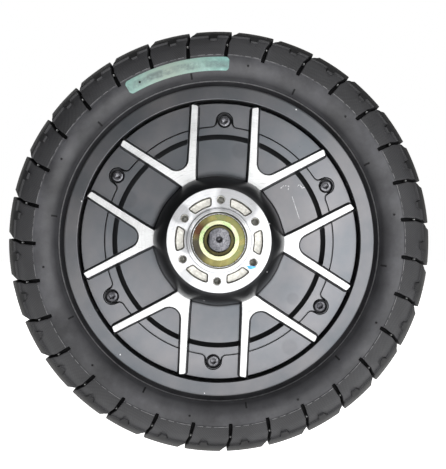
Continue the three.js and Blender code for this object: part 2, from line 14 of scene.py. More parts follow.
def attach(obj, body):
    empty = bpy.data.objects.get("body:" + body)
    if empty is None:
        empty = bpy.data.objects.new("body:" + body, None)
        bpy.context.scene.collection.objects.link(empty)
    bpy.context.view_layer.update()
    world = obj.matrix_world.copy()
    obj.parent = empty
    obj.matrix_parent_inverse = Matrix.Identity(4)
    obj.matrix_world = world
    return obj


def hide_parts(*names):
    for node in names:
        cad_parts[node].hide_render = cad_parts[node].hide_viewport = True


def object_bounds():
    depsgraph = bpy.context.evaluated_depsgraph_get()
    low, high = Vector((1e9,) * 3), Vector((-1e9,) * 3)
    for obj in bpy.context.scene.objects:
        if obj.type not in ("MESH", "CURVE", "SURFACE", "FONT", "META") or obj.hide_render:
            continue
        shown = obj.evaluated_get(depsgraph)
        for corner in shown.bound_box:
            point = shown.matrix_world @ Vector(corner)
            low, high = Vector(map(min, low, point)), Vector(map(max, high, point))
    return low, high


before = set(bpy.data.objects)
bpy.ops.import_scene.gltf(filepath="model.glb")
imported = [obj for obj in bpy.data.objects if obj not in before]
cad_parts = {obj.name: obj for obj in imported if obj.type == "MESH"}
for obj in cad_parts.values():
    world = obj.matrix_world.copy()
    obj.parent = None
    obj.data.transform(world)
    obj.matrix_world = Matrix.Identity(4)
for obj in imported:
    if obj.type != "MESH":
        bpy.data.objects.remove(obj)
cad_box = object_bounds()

MM = 0.001
FRONT = -1
REAR = 1
ROTOR_REST = math.radians(2.7)
FINE_CREASE = 28.0      # degrees past which an edge is sharp on the tyre and the cover

# -------- sizes

TREAD_PITCHES = 31
TREAD_PHASE = 6.6
BEAD_SEAT_RADIUS = 82.5
FLANGE_RADIUS = 88.0
FLANGE_OUT = 29.0
RECESS_RADIUS = 80.0
DRUM_RADIUS = 64.7

COVER_RADIUS = 79.1
COVER_OUT = 24.0        # rim of the cover, beside the rim's flange
PAD_OUT = 24.6          # raised ring that carries the screws
PAD_RADIUS = 65.3
EAR_RADIUS = 4.6
EAR_FILLET = 3.0
WELL_OUT = 22.5         # web inside that ring
PAD_GROOVE_OUT = 22.95  # floor of the groove round the ring and its ears
PAD_GROOVE_HALF = 0.5
SPOKE_OUT = 28.2
SPOKE_OFFSET = 17.2     # from the axle to a spoke's middle line
SPOKE_ANGLE = 30.0
SCREW_CIRCLE = 68.8
HUB_FACE_RADIUS = 28.1
HUB_FACE_OUT = 47.0
SPIGOT_RADIUS = 17.5
SPIGOT_OUT = 48.5
HUB_BORE = 15.0
REAR_WALL_OUT = 24.0
# The bearing's pocket, the same in the rim and the cover: radius and out.
BEARING_POCKET = [(HUB_BORE, 38.3), (17.65, 38.3), (17.65, 26.0)]
DISC_BOLT_CIRCLE = 22.0
AXLE_END = 80.0

# -------- node materials


class Paint:
    """A Principled material with short ways to add procedural detail in object space."""

    def __init__(self, name, color, roughness, metallic=0.0, specular=0.5):
        self.material = bpy.data.materials.new(name)
        self.material.use_nodes = True
        self.nodes = self.material.node_tree.nodes
        self.links = self.material.node_tree.links
        self.shader = self.nodes["Principled BSDF"]
        self.set("Base Color", (*color, 1))
        self.set("Roughness", roughness)
        self.set("Metallic", metallic)
        self.set("Specular IOR Level", specular)
        self.material.diffuse_color = (*color, 1)
        self.place = self.node("ShaderNodeTexCoord").outputs["Object"]

    def set(self, socket, value):
        self.shader.inputs[socket].default_value = value

    def feed(self, value, socket):
        """Links an output to a socket, or sets the socket to a plain value."""
        if isinstance(value, bpy.types.NodeSocket):
            self.links.new(value, socket)
        else:
            socket.default_value = (*value, 1) if isinstance(value, tuple) else value

    def node(self, kind, inputs=(), **settings):
        """A new node. inputs is pairs of a socket's name or number and what feeds it."""
        made = self.nodes.new(kind)
        for key, value in settings.items():
            setattr(made, key, value)
        for socket, value in inputs:
            self.feed(value, made.inputs[socket])
        return made

    def math(self, operation, first, second=0.5):
        return self.node("ShaderNodeMath", enumerate((first, second)), operation=operation).outputs[0]

    def times(self, first, second):
        return self.math("MULTIPLY", first, second)

    def vector_math(self, operation, first, second, output="Vector"):
        made = self.node("ShaderNodeVectorMath", enumerate((first, second)), operation=operation)
        return made.outputs[output]

    def noise(self, scale, detail=3.0, roughness=0.55, place=None, distortion=0.0):
        inputs = {
            "Scale": scale, "Detail": detail, "Roughness": roughness, "Distortion": distortion,
            "Vector": place or self.place,
        }
        return self.node("ShaderNodeTexNoise", inputs.items()).outputs[0]

    def axes(self):
        return self.node("ShaderNodeSeparateXYZ", [(0, self.place)]).outputs

    def polar(self):
        """Distance from the axle's middle line in metres, and the angle round it in radians."""
        x, _, z = self.axes()
        square = self.math("ADD", self.times(x, x), self.times(z, z))
        return self.math("SQRT", square), self.math("ARCTAN2", z, x)

    def stretched(self, x, y, z):
        inputs = (("Scale", Vector((x, y, z))), ("Vector", self.place))
        return self.node("ShaderNodeMapping", inputs).outputs[0]

    def combined(self, x, y, z):
        return self.node("ShaderNodeCombineXYZ", enumerate((x, y, z))).outputs[0]

    def ramp(self, factor, stops):
        """A colour ramp; stops are (position, colour or grey)."""
        made = self.node("ShaderNodeValToRGB", [(0, factor)])
        elements = made.color_ramp.elements
        while len(elements) < len(stops):
            elements.new(0.5)
        for element, (position, value) in zip(elements, stops):
            element.position = position
            color = (value, value, value) if isinstance(value, (int, float)) else value
            element.color = (*color, 1)
        return made.outputs[0]

    def span(self, factor, low, high, start=0.0, end=1.0):
        """The factor carried from start..end to low..high, held at both ends."""
        inputs = {"From Min": start, "From Max": end, "To Min": low, "To Max": high, "Value": factor}
        return self.node("ShaderNodeMapRange", inputs.items()).outputs[0]

    def mix(self, factor, first, second):
        inputs = ((0, factor), (6, first), (7, second))
        return self.node("ShaderNodeMix", inputs, data_type="RGBA").outputs[2]

    def specks(self, scale, size, share):
        """1 on small round specks, one to a cell of 1/scale metres, in that share of the cells."""
        made = self.node("ShaderNodeTexVoronoi", (("Scale", scale), ("Vector", self.place)))
        near = self.math("LESS_THAN", made.outputs["Distance"], size)
        chosen = self.math("LESS_THAN", made.outputs["Color"], share)
        return self.times(near, chosen)

    def near(self, place, reach):
        """1 at a place in millimetres, falling to 0 at its reach."""
        gap = self.vector_math("DISTANCE", self.place, Vector(place) * MM, "Value")
        return self.span(gap, 1.0, 0.0, 0.0, reach * MM)

    def stroke(self, start, end, width):
        """1 on a thin straight mark between two places, all in millimetres."""
        begin = Vector(start) * MM
        along = Vector(end) * MM - begin
        offset = self.vector_math("SUBTRACT", self.place, begin)
        share = self.vector_math("DOT_PRODUCT", offset, along / along.length_squared, "Value")
        share = self.math("MINIMUM", self.math("MAXIMUM", share, 0.0), 1.0)
        nearest = self.vector_math("MULTIPLY", self.combined(share, share, share), along)
        gap = self.vector_math("DISTANCE", offset, nearest, "Value")
        return self.math("LESS_THAN", gap, width * MM)

    def color(self, source):
        self.feed(source, self.shader.inputs["Base Color"])

    def roughness(self, source):
        self.feed(source, self.shader.inputs["Roughness"])

    def sheen(self, scale, detail, low, high):
        """Roughness that drifts between two values."""
        self.roughness(self.span(self.noise(scale, detail), low, high))

    def bump(self, *layers):
        """Each layer is (height, strength, distance in millimetres)."""
        normal = []
        for height, strength, distance in layers:
            inputs = (("Strength", strength), ("Distance", distance * MM), ("Height", height), *normal)
            normal = [("Normal", self.node("ShaderNodeBump", inputs).outputs[0])]
        self.feed(normal[0][1], self.shader.inputs["Normal"])

    def grained(self, scale, detail, stops, strength, distance):
        """Colour and relief that both follow one noise. Returns the noise."""
        grain = self.noise(scale, detail)
        self.color(self.ramp(grain, stops))
        self.bump((grain, strength, distance))
        return grain

    def rings(self, pitch, radius):
        """Noise drawn out round the axle into fine turning marks, pitch of them to a metre."""
        return self.noise(1.0, 2, place=self.combined(self.times(radius, pitch), 0.0, 0.0))


# Scratches on the web between the two right-hand spoke pairs: start x, z and end x, z.
SCRATCHES = [
    (35.7, 30.5, 37.5, 31.9), (37.5, 31.9, 40.3, 31.6), (40.3, 31.6, 39.9, 29.6),
    (45.3, 31.4, 46.6, 32.8), (46.6, 32.8, 47.8, 30.5), (47.8, 30.5, 49.2, 30.9),
]
LONG_SCRATCH = (42.2, 25.5, 46.2, 13.1)
# Finger smudges on the web: x, z and reach.
SMUDGES = [(42.6, -33.2, 5.5), (40.5, -60.6, 7.0), (-52.0, 24.0, 8.0), (12.0, 52.0, 7.0)]
# Painted shade on the hub's face: greyer patches standing in for the darker sectors that its turned rings
# mirror. x, z, reach and strength.
HUB_SHADE_PATCHES = [
    (10.5, 21.5, 17.0, 0.62), (-21.0, 14.5, 8.0, 0.55), (-16.5, 0.0, 9.0, 0.6),
    (-9.0, 14.0, 8.0, 0.4), (-17.0, -19.0, 6.0, 0.35),
]


def scaled(color, factor):
    return tuple(factor * c for c in color)


def black_paint(name="satin_black_paint", shade=1.0):
    """Satin black that mirrors the light softly, with dust, finger smudges, scratches and a painted dark
    reflection towards the hub.
    """
    paint = Paint(name, scaled((0.12, 0.12, 0.13), shade), 0.36, 0.85)
    tint = paint.ramp(paint.noise(24, 5, 0.6), [
        (0.34, scaled((0.094, 0.102, 0.112), shade)), (0.5, scaled((0.120, 0.122, 0.130), shade)),
        (0.66, scaled((0.146, 0.143, 0.148), shade)),
    ])
    radius, _ = paint.polar()
    # Painted reflection: the black darkens towards the hub, standing in for something dark mirrored from in
    # front of the wheel.
    tint = paint.mix(paint.span(radius, 0.22, 0.0, 0.046, 0.064), tint, (0.02, 0.02, 0.022))
    for x, z, reach in SMUDGES:
        smudge = paint.ramp(paint.near((x, -WELL_OUT - 1.0, z), reach), [(0.25, 0), (0.45, 1)])
        tint = paint.mix(paint.times(smudge, 0.15), tint, (0.02, 0.02, 0.024))
    dust = paint.specks(230, 0.085, 0.29)
    chips = paint.ramp(paint.noise(900, 3, 0.6), [(0.44, 0), (0.60, 0.9)])

    def scratch(x, z, end_x, end_z, width):
        return paint.stroke((x, -WELL_OUT, z), (end_x, -WELL_OUT, end_z), width)

    marks = scratch(*SCRATCHES[0], 0.24)
    for ends in SCRATCHES[1:]:
        marks = paint.math("MAXIMUM", marks, scratch(*ends, 0.24))
    marks = paint.times(marks, chips)
    long = paint.times(scratch(*LONG_SCRATCH, 0.17), paint.span(chips, 0.2, 0.6))
    bare = paint.math("MAXIMUM", marks, long)
    light = paint.math("MAXIMUM", bare, dust)
    paint.color(paint.mix(light, tint, (0.55, 0.55, 0.56)))
    paint.feed(paint.span(light, 0.85, 0.0), paint.shader.inputs["Metallic"])
    paint.sheen(45, 5, 0.24, 0.35)
    paint.bump((paint.noise(650, 2), 0.10, 0.05), (paint.noise(45, 2), 0.12, 0.15))
    return paint.material


def machined_metal(name, color, roughness=(0.24, 0.42), stains=()):
    """Face-turned metal: fine rings round the axle, uneven sheen and small marks, and any listed patches of
    painted shade.
    """
    paint = Paint(name, color, 0.3, 1.0)
    radius, angle = paint.polar()
    rings = paint.noise(1.0, 2, place=paint.combined(
        paint.times(radius, 4200.0), paint.times(angle, 0.6), 0.0))
    clouds = paint.noise(55, 4)
    tone = paint.ramp(clouds, [(0.28, scaled(color, 0.66)), (0.5, color), (0.7, scaled(color, 1.12))])
    streak = paint.ramp(rings, [(0.35, 0.62), (0.6, 1.0)])
    fine = paint.noise(1.0, 3, 0.65, place=paint.stretched(260, 260, 1900))
    scratch = paint.ramp(fine, [(0.60, 0), (0.66, 0.3)])
    ringed = paint.mix(0.22, tone, streak)
    # Each listed patch greys the colour: painted shade for a sector of the turned face that mirrors darker.
    for x, z, reach, strength in stains:
        stain = paint.near((x, -HUB_FACE_OUT, z), reach)
        edge = paint.math("ADD", stain, paint.span(clouds, -0.25, 0.25))
        shade = paint.times(paint.ramp(edge, [(0.22, 0), (0.42, 1)]), strength)
        ringed = paint.mix(shade, ringed, scaled(color, 0.35))
    paint.color(paint.mix(scratch, ringed, scaled(color, 0.45)))
    paint.sheen(80, 4, *roughness)
    paint.bump((rings, 0.22, 0.04), (paint.noise(700, 2), 0.08, 0.03))
    return paint.material


def cast_metal():
    paint = Paint("as_cast_aluminium", (0.70, 0.69, 0.65), 0.55, 0.75)
    paint.grained(900, 4, [(0.3, (0.40, 0.39, 0.36)), (0.7, (0.62, 0.61, 0.565))], 0.5, 0.12)
    paint.sheen(300, 3, 0.45, 0.68)
    return paint.material


def grime_and_shade_metal(name, dark, light, metallic=1.0):
    """Metal down in holes and corners, with dirt in patches. In dark colours it serves as painted shade on
    walls that lie in shadow.
    """
    paint = Paint(name, light, 0.36, metallic)
    grime = paint.grained(500, 3, [(0.35, dark), (0.65, light)], 0.2, 0.04)
    paint.roughness(paint.span(grime, 0.25, 0.45))
    return paint.material


def gold_zinc():
    """Yellow zinc plating, with the uneven olive, green and pink of its film, and painted shade: a darker
    flange and recess floor, and a dark, reddish patch on the flange's left.
    """
    paint = Paint("yellow_zinc_plating", (0.66, 0.56, 0.27), 0.26, 1.0)
    film = paint.noise(60, 3, 0.6, distortion=0.8)
    # The flange's darker olive is partly its film and partly painted shade from the bore around it.
    flange_film_and_shade = paint.ramp(film, [
        (0.27, (0.065, 0.058, 0.026)), (0.40, (0.12, 0.108, 0.045)), (0.50, (0.165, 0.148, 0.058)),
        (0.60, (0.115, 0.130, 0.056)), (0.70, (0.19, 0.125, 0.092)),
    ])
    thin = paint.ramp(film, [
        (0.27, (0.24, 0.25, 0.13)), (0.40, (0.33, 0.34, 0.20)), (0.50, (0.38, 0.375, 0.25)),
        (0.60, (0.26, 0.34, 0.165)), (0.70, (0.40, 0.345, 0.27)),
    ])
    radius, _ = paint.polar()
    ring = paint.ramp(paint.span(radius, 0, 1, 0.0, 0.02), [
        (0.410, 0), (0.418, 1), (0.534, 1), (0.546, 0),
    ])
    # Painted shade: the recess floor inside the tube is darkened.
    inside = paint.ramp(paint.span(radius, 0, 1, 0.0, 0.02), [(0.405, 0.6), (0.413, 0)])
    # Painted shade and reflection on the flange's left, where the bore's wall shades it: a dark patch and a
    # reddish one.
    grey = paint.times(paint.near((-12.6, -40.2, -4.0), 8.5), 1.8)
    shaded_film = paint.mix(grey, paint.mix(inside, flange_film_and_shade, (0.035, 0.028, 0.016)), (0.045, 0.040, 0.030))
    painted_red_reflection = paint.times(paint.near((-11.5, -40.2, 6.0), 5.5), 1.6)
    shaded_film = paint.mix(painted_red_reflection, shaded_film, (0.062, 0.030, 0.018))
    paint.color(paint.mix(ring, shaded_film, thin))
    paint.sheen(140, 3, 0.2, 0.36)
    paint.bump((paint.rings(3500.0, radius), 0.2, 0.03))
    return paint.material


def steel(name, dark, light, roughness, grain=500.0, metallic=0.95):
    """Bare or oiled steel with grain and darker stains."""
    paint = Paint(name, light, roughness, metallic)
    speck = paint.noise(grain, 4, 0.65)
    stain = paint.noise(90, 3)
    grained = paint.ramp(speck, [(0.3, dark), (0.7, light)])
    paint.color(paint.mix(paint.ramp(stain, [(0.4, 0), (0.7, 1)]), grained, dark))
    paint.roughness(paint.span(stain, max(0.05, roughness - 0.1), roughness + 0.12))
    paint.bump((speck, 0.3, 0.05))
    return paint.material


def rubber(name, low, high, roughness=(0.5, 0.68), specular=0.3):
    """Rubber with cloudy bloom and a fine grain."""
    paint = Paint(name, high, 0.6, 0.0, specular)
    bloom = paint.noise(24, 5, 0.6)
    fine = paint.noise(1200.0, 3)
    cloudy = paint.ramp(bloom, [(0.3, low), (0.72, high)])
    paint.color(paint.mix(paint.ramp(fine, [(0.35, 0.0), (0.75, 0.35)]), cloudy, high))
    paint.sheen(70, 4, *roughness)
    paint.bump((fine, 0.35, 0.06), (paint.noise(160, 3), 0.18, 0.12))
    return paint.material


def tread_rubber():
    """Dark tread, dusty over the middle where it runs on the ground."""
    paint = Paint("tyre_tread_rubber", (0.012, 0.012, 0.0125), 0.67, 0.0, 0.10)
    cloud = paint.noise(24, 5, 0.6)
    base = paint.ramp(cloud, [(0.3, (0.008, 0.008, 0.0085)), (0.72, (0.017, 0.017, 0.0175))])
    _, y, _ = paint.axes()
    middle = paint.span(paint.math("ABSOLUTE", y), 1.0, 0.0, 0.015, 0.026)
    dust = paint.times(middle, paint.ramp(paint.noise(80, 5, 0.65), [(0.32, 0.45), (0.66, 1.0)]))
    paint.color(paint.mix(dust, base, (0.037, 0.036, 0.034)))
    paint.sheen(70, 4, 0.58, 0.76)
    paint.bump((paint.noise(1200, 3), 0.35, 0.06), (paint.noise(160, 3), 0.18, 0.12))
    return paint.material


def sidewall_rubber():
    """Smooth sidewall: cloudy grey bloom, and painted shade darkening it down towards the bead, where it
    meets the rim's flange.
    """
    paint = Paint("tyre_sidewall_rubber", (0.04, 0.04, 0.043), 0.5, 0.0, 0.36)
    bloom = paint.noise(38, 6, 0.66)
    radius, _ = paint.polar()
    cloudy = paint.ramp(bloom, [(0.34, (0.016, 0.016, 0.018)), (0.66, (0.052, 0.052, 0.057))])
    # Painted shade from the rim's flange: darker towards the bead.
    bead = paint.span(radius, 0.42, 0.0, 0.0925, 0.0985)
    paint.color(paint.mix(bead, cloudy, (0.011, 0.011, 0.012)))
    paint.roughness(paint.ramp(paint.noise(52, 5, 0.6), [(0.36, 0.60), (0.64, 0.38)]))
    paint.bump((paint.noise(1600, 3), 0.35, 0.04), (paint.noise(160, 3), 0.18, 0.12),
               (paint.noise(330, 2), 0.25, 0.12))
    return paint.material


def shoulder_rubber():
    """Tyre shoulder with the mould's fine slanted hatching."""
    paint = Paint("tyre_shoulder_rubber", (0.04, 0.04, 0.043), 0.58, 0.0, 0.3)
    radius, angle = paint.polar()
    along = paint.times(angle, 108.0 * 5.2)
    across = paint.times(radius, 5200.0)
    hatch = paint.math("SINE", paint.math("ADD", along, across))
    cross = paint.math("SINE", paint.math("SUBTRACT", along, paint.times(across, 0.55)))
    weave = paint.times(hatch, paint.span(cross, 0.35, 1.0, -1, 1))
    bloom = paint.noise(30, 4)
    base = paint.ramp(bloom, [(0.3, (0.012, 0.012, 0.013)), (0.7, (0.026, 0.026, 0.028))])
    light = paint.span(weave, 0.0, 0.4, -0.2, 1.0)
    paint.color(paint.mix(light, base, (0.06, 0.06, 0.063)))
    paint.sheen(90, 4, 0.52, 0.7)
    paint.bump((weave, 0.5, 0.12), (paint.noise(900, 2), 0.25, 0.05))
    return paint.material


def wear_and_highlight_rubber(name, low, high, start=0.35):
    """Raised mould lines of the tyre, paler in dots: rubbed wear on the shoulder's edge, and a painted
    highlight along the bead line.
    """
    paint = Paint(name, (high, high, high), 0.55, 0.0, 0.5)
    dots = paint.noise(420, 2, 0.5)
    paint.color(paint.ramp(dots, [(start, (low, low, 1.05 * low)), (0.62, (high, high, 1.03 * high))]))
    paint.sheen(200, 3, 0.45, 0.62)
    paint.bump((dots, 0.3, 0.08))
    return paint.material


def worn_label():
    """Rubber hot patch in pale teal, rubbed through in places."""
    paint = Paint("worn_teal_patch", (0.36, 0.58, 0.53), 0.5, 0.0, 0.4)
    rubs = paint.noise(75, 5, 0.7, distortion=0.6)
    chips = paint.noise(420, 3, 0.6)
    teal = paint.ramp(chips, [
        (0.3, (0.10, 0.21, 0.19)), (0.6, (0.15, 0.29, 0.265)), (0.85, (0.27, 0.40, 0.38)),
    ])
    aged = paint.mix(paint.near((-28.0, -34.0, 95.0), 34.0), teal, (0.20, 0.25, 0.21))
    radius, _ = paint.polar()
    across = paint.span(radius, 0, 1, 0.095, 0.1026)
    middle = paint.ramp(across, [(0.16, 0), (0.34, 1), (0.66, 1), (0.84, 0)])
    rubbed = paint.times(middle, paint.ramp(rubs, [(0.38, 0), (0.58, 0.8)]))
    paint.color(paint.mix(rubbed, aged, (0.06, 0.078, 0.080)))
    paint.roughness(paint.span(rubs, 0.4, 0.65))
    paint.bump((chips, 0.25, 0.05))
    return paint.material


def blue_mark():
    paint = Paint("blue_paint_mark", (0.05, 0.30, 0.75), 0.4)
    paint.grained(700, 3, [(0.3, (0.02, 0.14, 0.62)), (0.65, (0.10, 0.50, 0.86))], 0.2, 0.03)
    return paint.material


def plastic(name, dark, light, roughness=0.45):
    paint = Paint(name, light, roughness)
    paint.grained(800, 3, [(0.3, dark), (0.7, light)], 0.25, 0.05)
    paint.sheen(120, 3, roughness - 0.08, roughness + 0.1)
    return paint.material


def striped_metal(name, dark, light, spacing, roughness, metallic=0.9):
    """Metal built of thin layers or wires: stripes across Y, spacing in millimetres."""
    paint = Paint(name, light, roughness, metallic)
    _, y, _ = paint.axes()
    wave = paint.math("SINE", paint.times(y, 2 * math.pi / (spacing * MM)))
    paint.color(paint.mix(paint.span(wave, 0, 1, -0.4, 0.6), dark, light))
    paint.sheen(150, 3, roughness - 0.08, roughness + 0.1)
    paint.bump((wave, 0.4, spacing * 0.2))
    return paint.material


# -------- mesh helpers


def soften(points, radius=0.4, steps=3):
    """Rounds each corner of a closed outline. A point may carry its own radius as a third value."""
    made = []
    count = len(points)
    for i, point in enumerate(points):
        here = np.array(point[:2], float)
        cut = point[2] if len(point) > 2 else radius
        before = np.array(points[i - 1][:2], float) - here
        after = np.array(points[(i + 1) % count][:2], float) - here
        reach = min(cut, 0.48 * np.linalg.norm(before), 0.48 * np.linalg.norm(after))
        if reach < 1e-6:
            made.append(tuple(here))
            continue
        start = here + before / np.linalg.norm(before) * reach
        end = here + after / np.linalg.norm(after) * reach
        for k in range(steps + 1):
            t = k / steps
            made.append(tuple((1 - t) ** 2 * start + 2 * t * (1 - t) * here + t ** 2 * end))
    return guarded(made)


def guarded(points, margin=0.12):
    """Adds a point just inside both ends of each long straight, so that its shading stays flat."""
    made = []
    for i, point in enumerate(points):
        after = np.array(points[(i + 1) % len(points)])
        here = np.array(point)
        length = np.linalg.norm(after - here)
        made.append(tuple(here))
        if length > 5 * margin:
            step = (after - here) / length * margin
            made += [tuple(here + step), tuple(after - step)]
    return made


def even_angles(count):
    return np.arange(count) * 2 * math.pi / count


def ring_quads(rings, count, closed=False):
    """Quads between rings of count vertices each, and back to the first ring if closed."""
    here = np.arange(rings if closed else rings - 1)[:, None] * count
    below = (here + count) % (rings * count)
    j = np.arange(count)
    right = (j + 1) % count
    quads = np.stack(np.broadcast_arrays(here + j, here + right, below + right, below + j), axis=-1)
    return quads.reshape(-1, 4)


def ring_grid(rows, angles, closed=True):
    """Vertices and quads of a body turned about Y. A row is (radius, y), each a number or one per angle."""
    level = np.ones(len(angles))
    verts = [np.stack([r * np.cos(angles), y * level, r * np.sin(angles)], axis=1) for r, y in rows]
    return np.concatenate(verts), ring_quads(len(rows), len(angles), closed)


def turned_body(outline, side, segments, closed=False):
    """Vertices and quads of an outline of (radius, out) points turned about the axle."""
    return ring_grid([(radius, side * out) for radius, out in outline], even_angles(segments), closed)


def round_axle(radius, y, degrees):
    """The place at a radius and an angle round the axle; 0 degrees is +X and 90 is up."""
    angle = math.radians(degrees)
    return radius * math.cos(angle), y, radius * math.sin(angle)


def moved_out(verts, radius, degrees):
    """Verts drawn round the axle, moved to a place on a circle about it."""
    return verts + np.array(round_axle(radius, 0, degrees))


def stacked_faces(rings, count):
    """Quads between rings of count vertices each, and the two end faces."""
    last = (rings - 1) * count
    ends = [range(count - 1, -1, -1), range(last, last + count)]
    return [*ring_quads(rings, count), *ends]


def placed(made):
    """Puts an object into the scene."""
    bpy.context.scene.collection.objects.link(made)
    return made


def new_object(name, verts, faces, materials, pick=None, crease=35.0, turned=True, steep_shade=None):
    """A mesh object from millimetre vertices. pick(radius, y, degrees) gives each face's material
    number from its centre. A turned piece is on the rotor, so it stands at the rotor's rest angle.
    The last argument is the material number that takes over from 0 on the steep faces: painted shade, a
    darker black standing in for the shade those faces fall into."""
    mesh = bpy.data.meshes.new(name)
    mesh.from_pydata((np.asarray(verts, float) * MM).tolist(), [], [tuple(face) for face in faces])
    body = bmesh.new()
    body.from_mesh(mesh)
    bmesh.ops.remove_doubles(body, verts=body.verts, dist=1e-4 * MM)
    bmesh.ops.dissolve_degenerate(body, edges=body.edges, dist=1e-5 * MM)
    bmesh.ops.recalc_face_normals(body, faces=body.faces)
    if turned:
        rest = Matrix.Rotation(ROTOR_REST, 3, "Y")
        bmesh.ops.rotate(body, verts=body.verts, cent=(0, 0, 0), matrix=rest)
    body.to_mesh(mesh)
    body.free()
    for material in materials:
        mesh.materials.append(material)
    paint_faces(mesh, pick, turned, steep_shade)
    mesh.shade_smooth()
    mesh.set_sharp_from_angle(angle=math.radians(crease))
    return placed(bpy.data.objects.new(name, mesh))


def face_values(mesh, name):
    """A vector of each face, as rows."""
    values = np.zeros(len(mesh.polygons) * 3)
    mesh.polygons.foreach_get(name, values)
    return values.reshape(-1, 3)


def paint_faces(mesh, pick, turned, steep_shade):
    """Sets each face's material from where its centre is before the rest turn. Faces of material 0 that lean
    more than 28 degrees from the axle get the painted-shade material: a darker black standing in for their
    shade."""
    flattest = 0.88
    centres = face_values(mesh, "center") / MM
    if turned:
        centres = centres @ np.array(Matrix.Rotation(-ROTOR_REST, 3, "Y")).T
    x, y, z = centres.T
    numbers = np.zeros(len(x), np.int32)
    if pick:
        numbers[:] = pick(np.hypot(x, z), y, np.degrees(np.arctan2(z, x)))
    if steep_shade:
        numbers[(numbers == 0) & (np.abs(face_values(mesh, "normal")[:, 1]) < flattest)] = steep_shade
    mesh.polygons.foreach_set("material_index", numbers)


def settle(piece, body, slot, *nodes):
    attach(piece, body)
    if nodes:
        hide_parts(*nodes)


def turned_piece(name, outline, side, segments, material, steps=4, turned=True):
    """A solid of revolution from a closed (radius, out) outline with rounded corners."""
    verts, faces = turned_body(soften(outline, 0.2, steps), side, segments, closed=True)
    return new_object(name, verts, faces, [material], turned=turned)


def outline_normals(points):
    """Outward unit normals of a counter-clockwise closed outline."""
    edge = np.roll(points, -1, axis=0) - points
    edge /= np.linalg.norm(edge, axis=1)[:, None]
    normal = np.stack([edge[:, 1], -edge[:, 0]], axis=1)
    mean = normal + np.roll(normal, 1, axis=0)
    length = np.linalg.norm(mean, axis=1)[:, None]
    return mean / length * np.minimum(2 / length, 1.6)


def counter_clockwise(outline):
    area = np.sum(outline[:, 0] * np.roll(outline[:, 1], -1) - outline[:, 1] * np.roll(outline[:, 0], -1))
    return outline if area > 0 else outline[::-1]


def sampled(points, step):
    """The closed outline with points at most a step apart."""
    made = []
    for i, point in enumerate(points):
        after = points[(i + 1) % len(points)]
        parts = max(1, math.ceil(math.dist(point, after) / step))
        made += [*np.linspace(point, after, parts, endpoint=False)]
    return np.array(made)


def raised_body(outline, base, top, foot, draft, edge, fillet, steps=4):
    """A boss that stands on a surface: sunk foot, fillet, drafted side, rounded edge and flat top.
    outline is the flat top's edge; base(points) is the surface's height under it."""
    normals = outline_normals(outline)
    rings = []

    def ring(offset, height):
        at = outline + normals * offset
        rings.append(np.column_stack([at, np.broadcast_to(height(at), len(at))]))

    ring(draft + fillet, lambda at: foot)
    for k in range(steps + 1):
        turn = math.pi / 2 * k / steps
        lift = fillet * (1 - math.cos(turn)) - 0.03
        ring(draft + fillet * (1 - math.sin(turn)), lambda at: base(at) + lift)
    for k in range(steps + 1):
        turn = math.pi / 2 * k / steps
        ring(edge * math.cos(turn), lambda at: top - edge * (1 - math.sin(turn)))
    ring(-0.12, lambda at: top)
    return np.concatenate(rings), stacked_faces(len(rings), len(outline))


def on_side(verts, side, degrees=0.0):
    """Verts drawn as (x, z, out) moved onto a side of the wheel and turned to an angle."""
    turn = math.radians(degrees)
    x = verts[:, 0] * math.cos(turn) - verts[:, 1] * math.sin(turn)
    z = verts[:, 0] * math.sin(turn) + verts[:, 1] * math.cos(turn)
    return np.column_stack([x, side * verts[:, 2], z])


def several(copies):
    """Joins (verts, faces) pairs into one."""
    verts, faces, start = [], [], 0
    for part_verts, part_faces in copies:
        verts.append(part_verts)
        faces += [tuple(int(v) + start for v in face) for face in part_faces]
        start += len(part_verts)
    return np.concatenate(verts), faces


def cut(target, cutter):
    """Cuts a tool body out of a piece and removes the tool."""
    change = target.modifiers.new("cut", "BOOLEAN")
    change.operation = "DIFFERENCE"
    change.solver = "EXACT"
    change.object = cutter
    change.material_mode = "TRANSFER"
    graph = bpy.context.evaluated_depsgraph_get()
    mesh = bpy.data.meshes.new_from_object(target.evaluated_get(graph))
    target.modifiers.clear()
    old = target.data
    target.data = mesh
    bpy.data.meshes.remove(old)
    bpy.data.objects.remove(cutter)
    mesh.shade_smooth()
    mesh.set_sharp_from_angle(angle=math.radians(FINE_CREASE))


# -------- tyre

# The tyre's skin from the middle of the tread to the bead, [radius, out].
TYRE_SKIN = [
    (126.4, 0), (126.1, 4), (125.2, 8), (123.6, 12.5), (121.5, 17.5), (119.3, 22.3), (116.7, 26.8),
    (113.5, 30.3), (109.5, 33.0), (105.0, 34.7), (100.5, 35.0), (96.5, 34.2), (93.3, 32.5),
    (91.0, 30.0), (89.8, 27.0), (88.4, 24.6), (86.5, 23.8), (83.2, 23.7),
]
# And its inside from the bead to the middle.
TYRE_LINING = [
    (82.8, 22.5), (82.8, 15.0), (83.4, 13.6), (86, 15), (92, 25.5), (103, 29.5), (116, 18), (119.8, 0),
]

CROWN_STEP = 1.1        # the tread's cap stands this far above the hatched shoulder
SHOULDER_STEP = 0.35    # and the shoulder above the plain sidewall
CAP_EDGE_RADIUS = 116.7
TAB_EDGE_RADIUS = 114.0
SHOULDER_EDGE_RADIUS = 103.9
GROOVE_END_RADIUS = 102.4
BEAD_LINE_RADIUS = 90.2
NIB_RADIUS = 110.4
VENT_RADIUS = 98.8


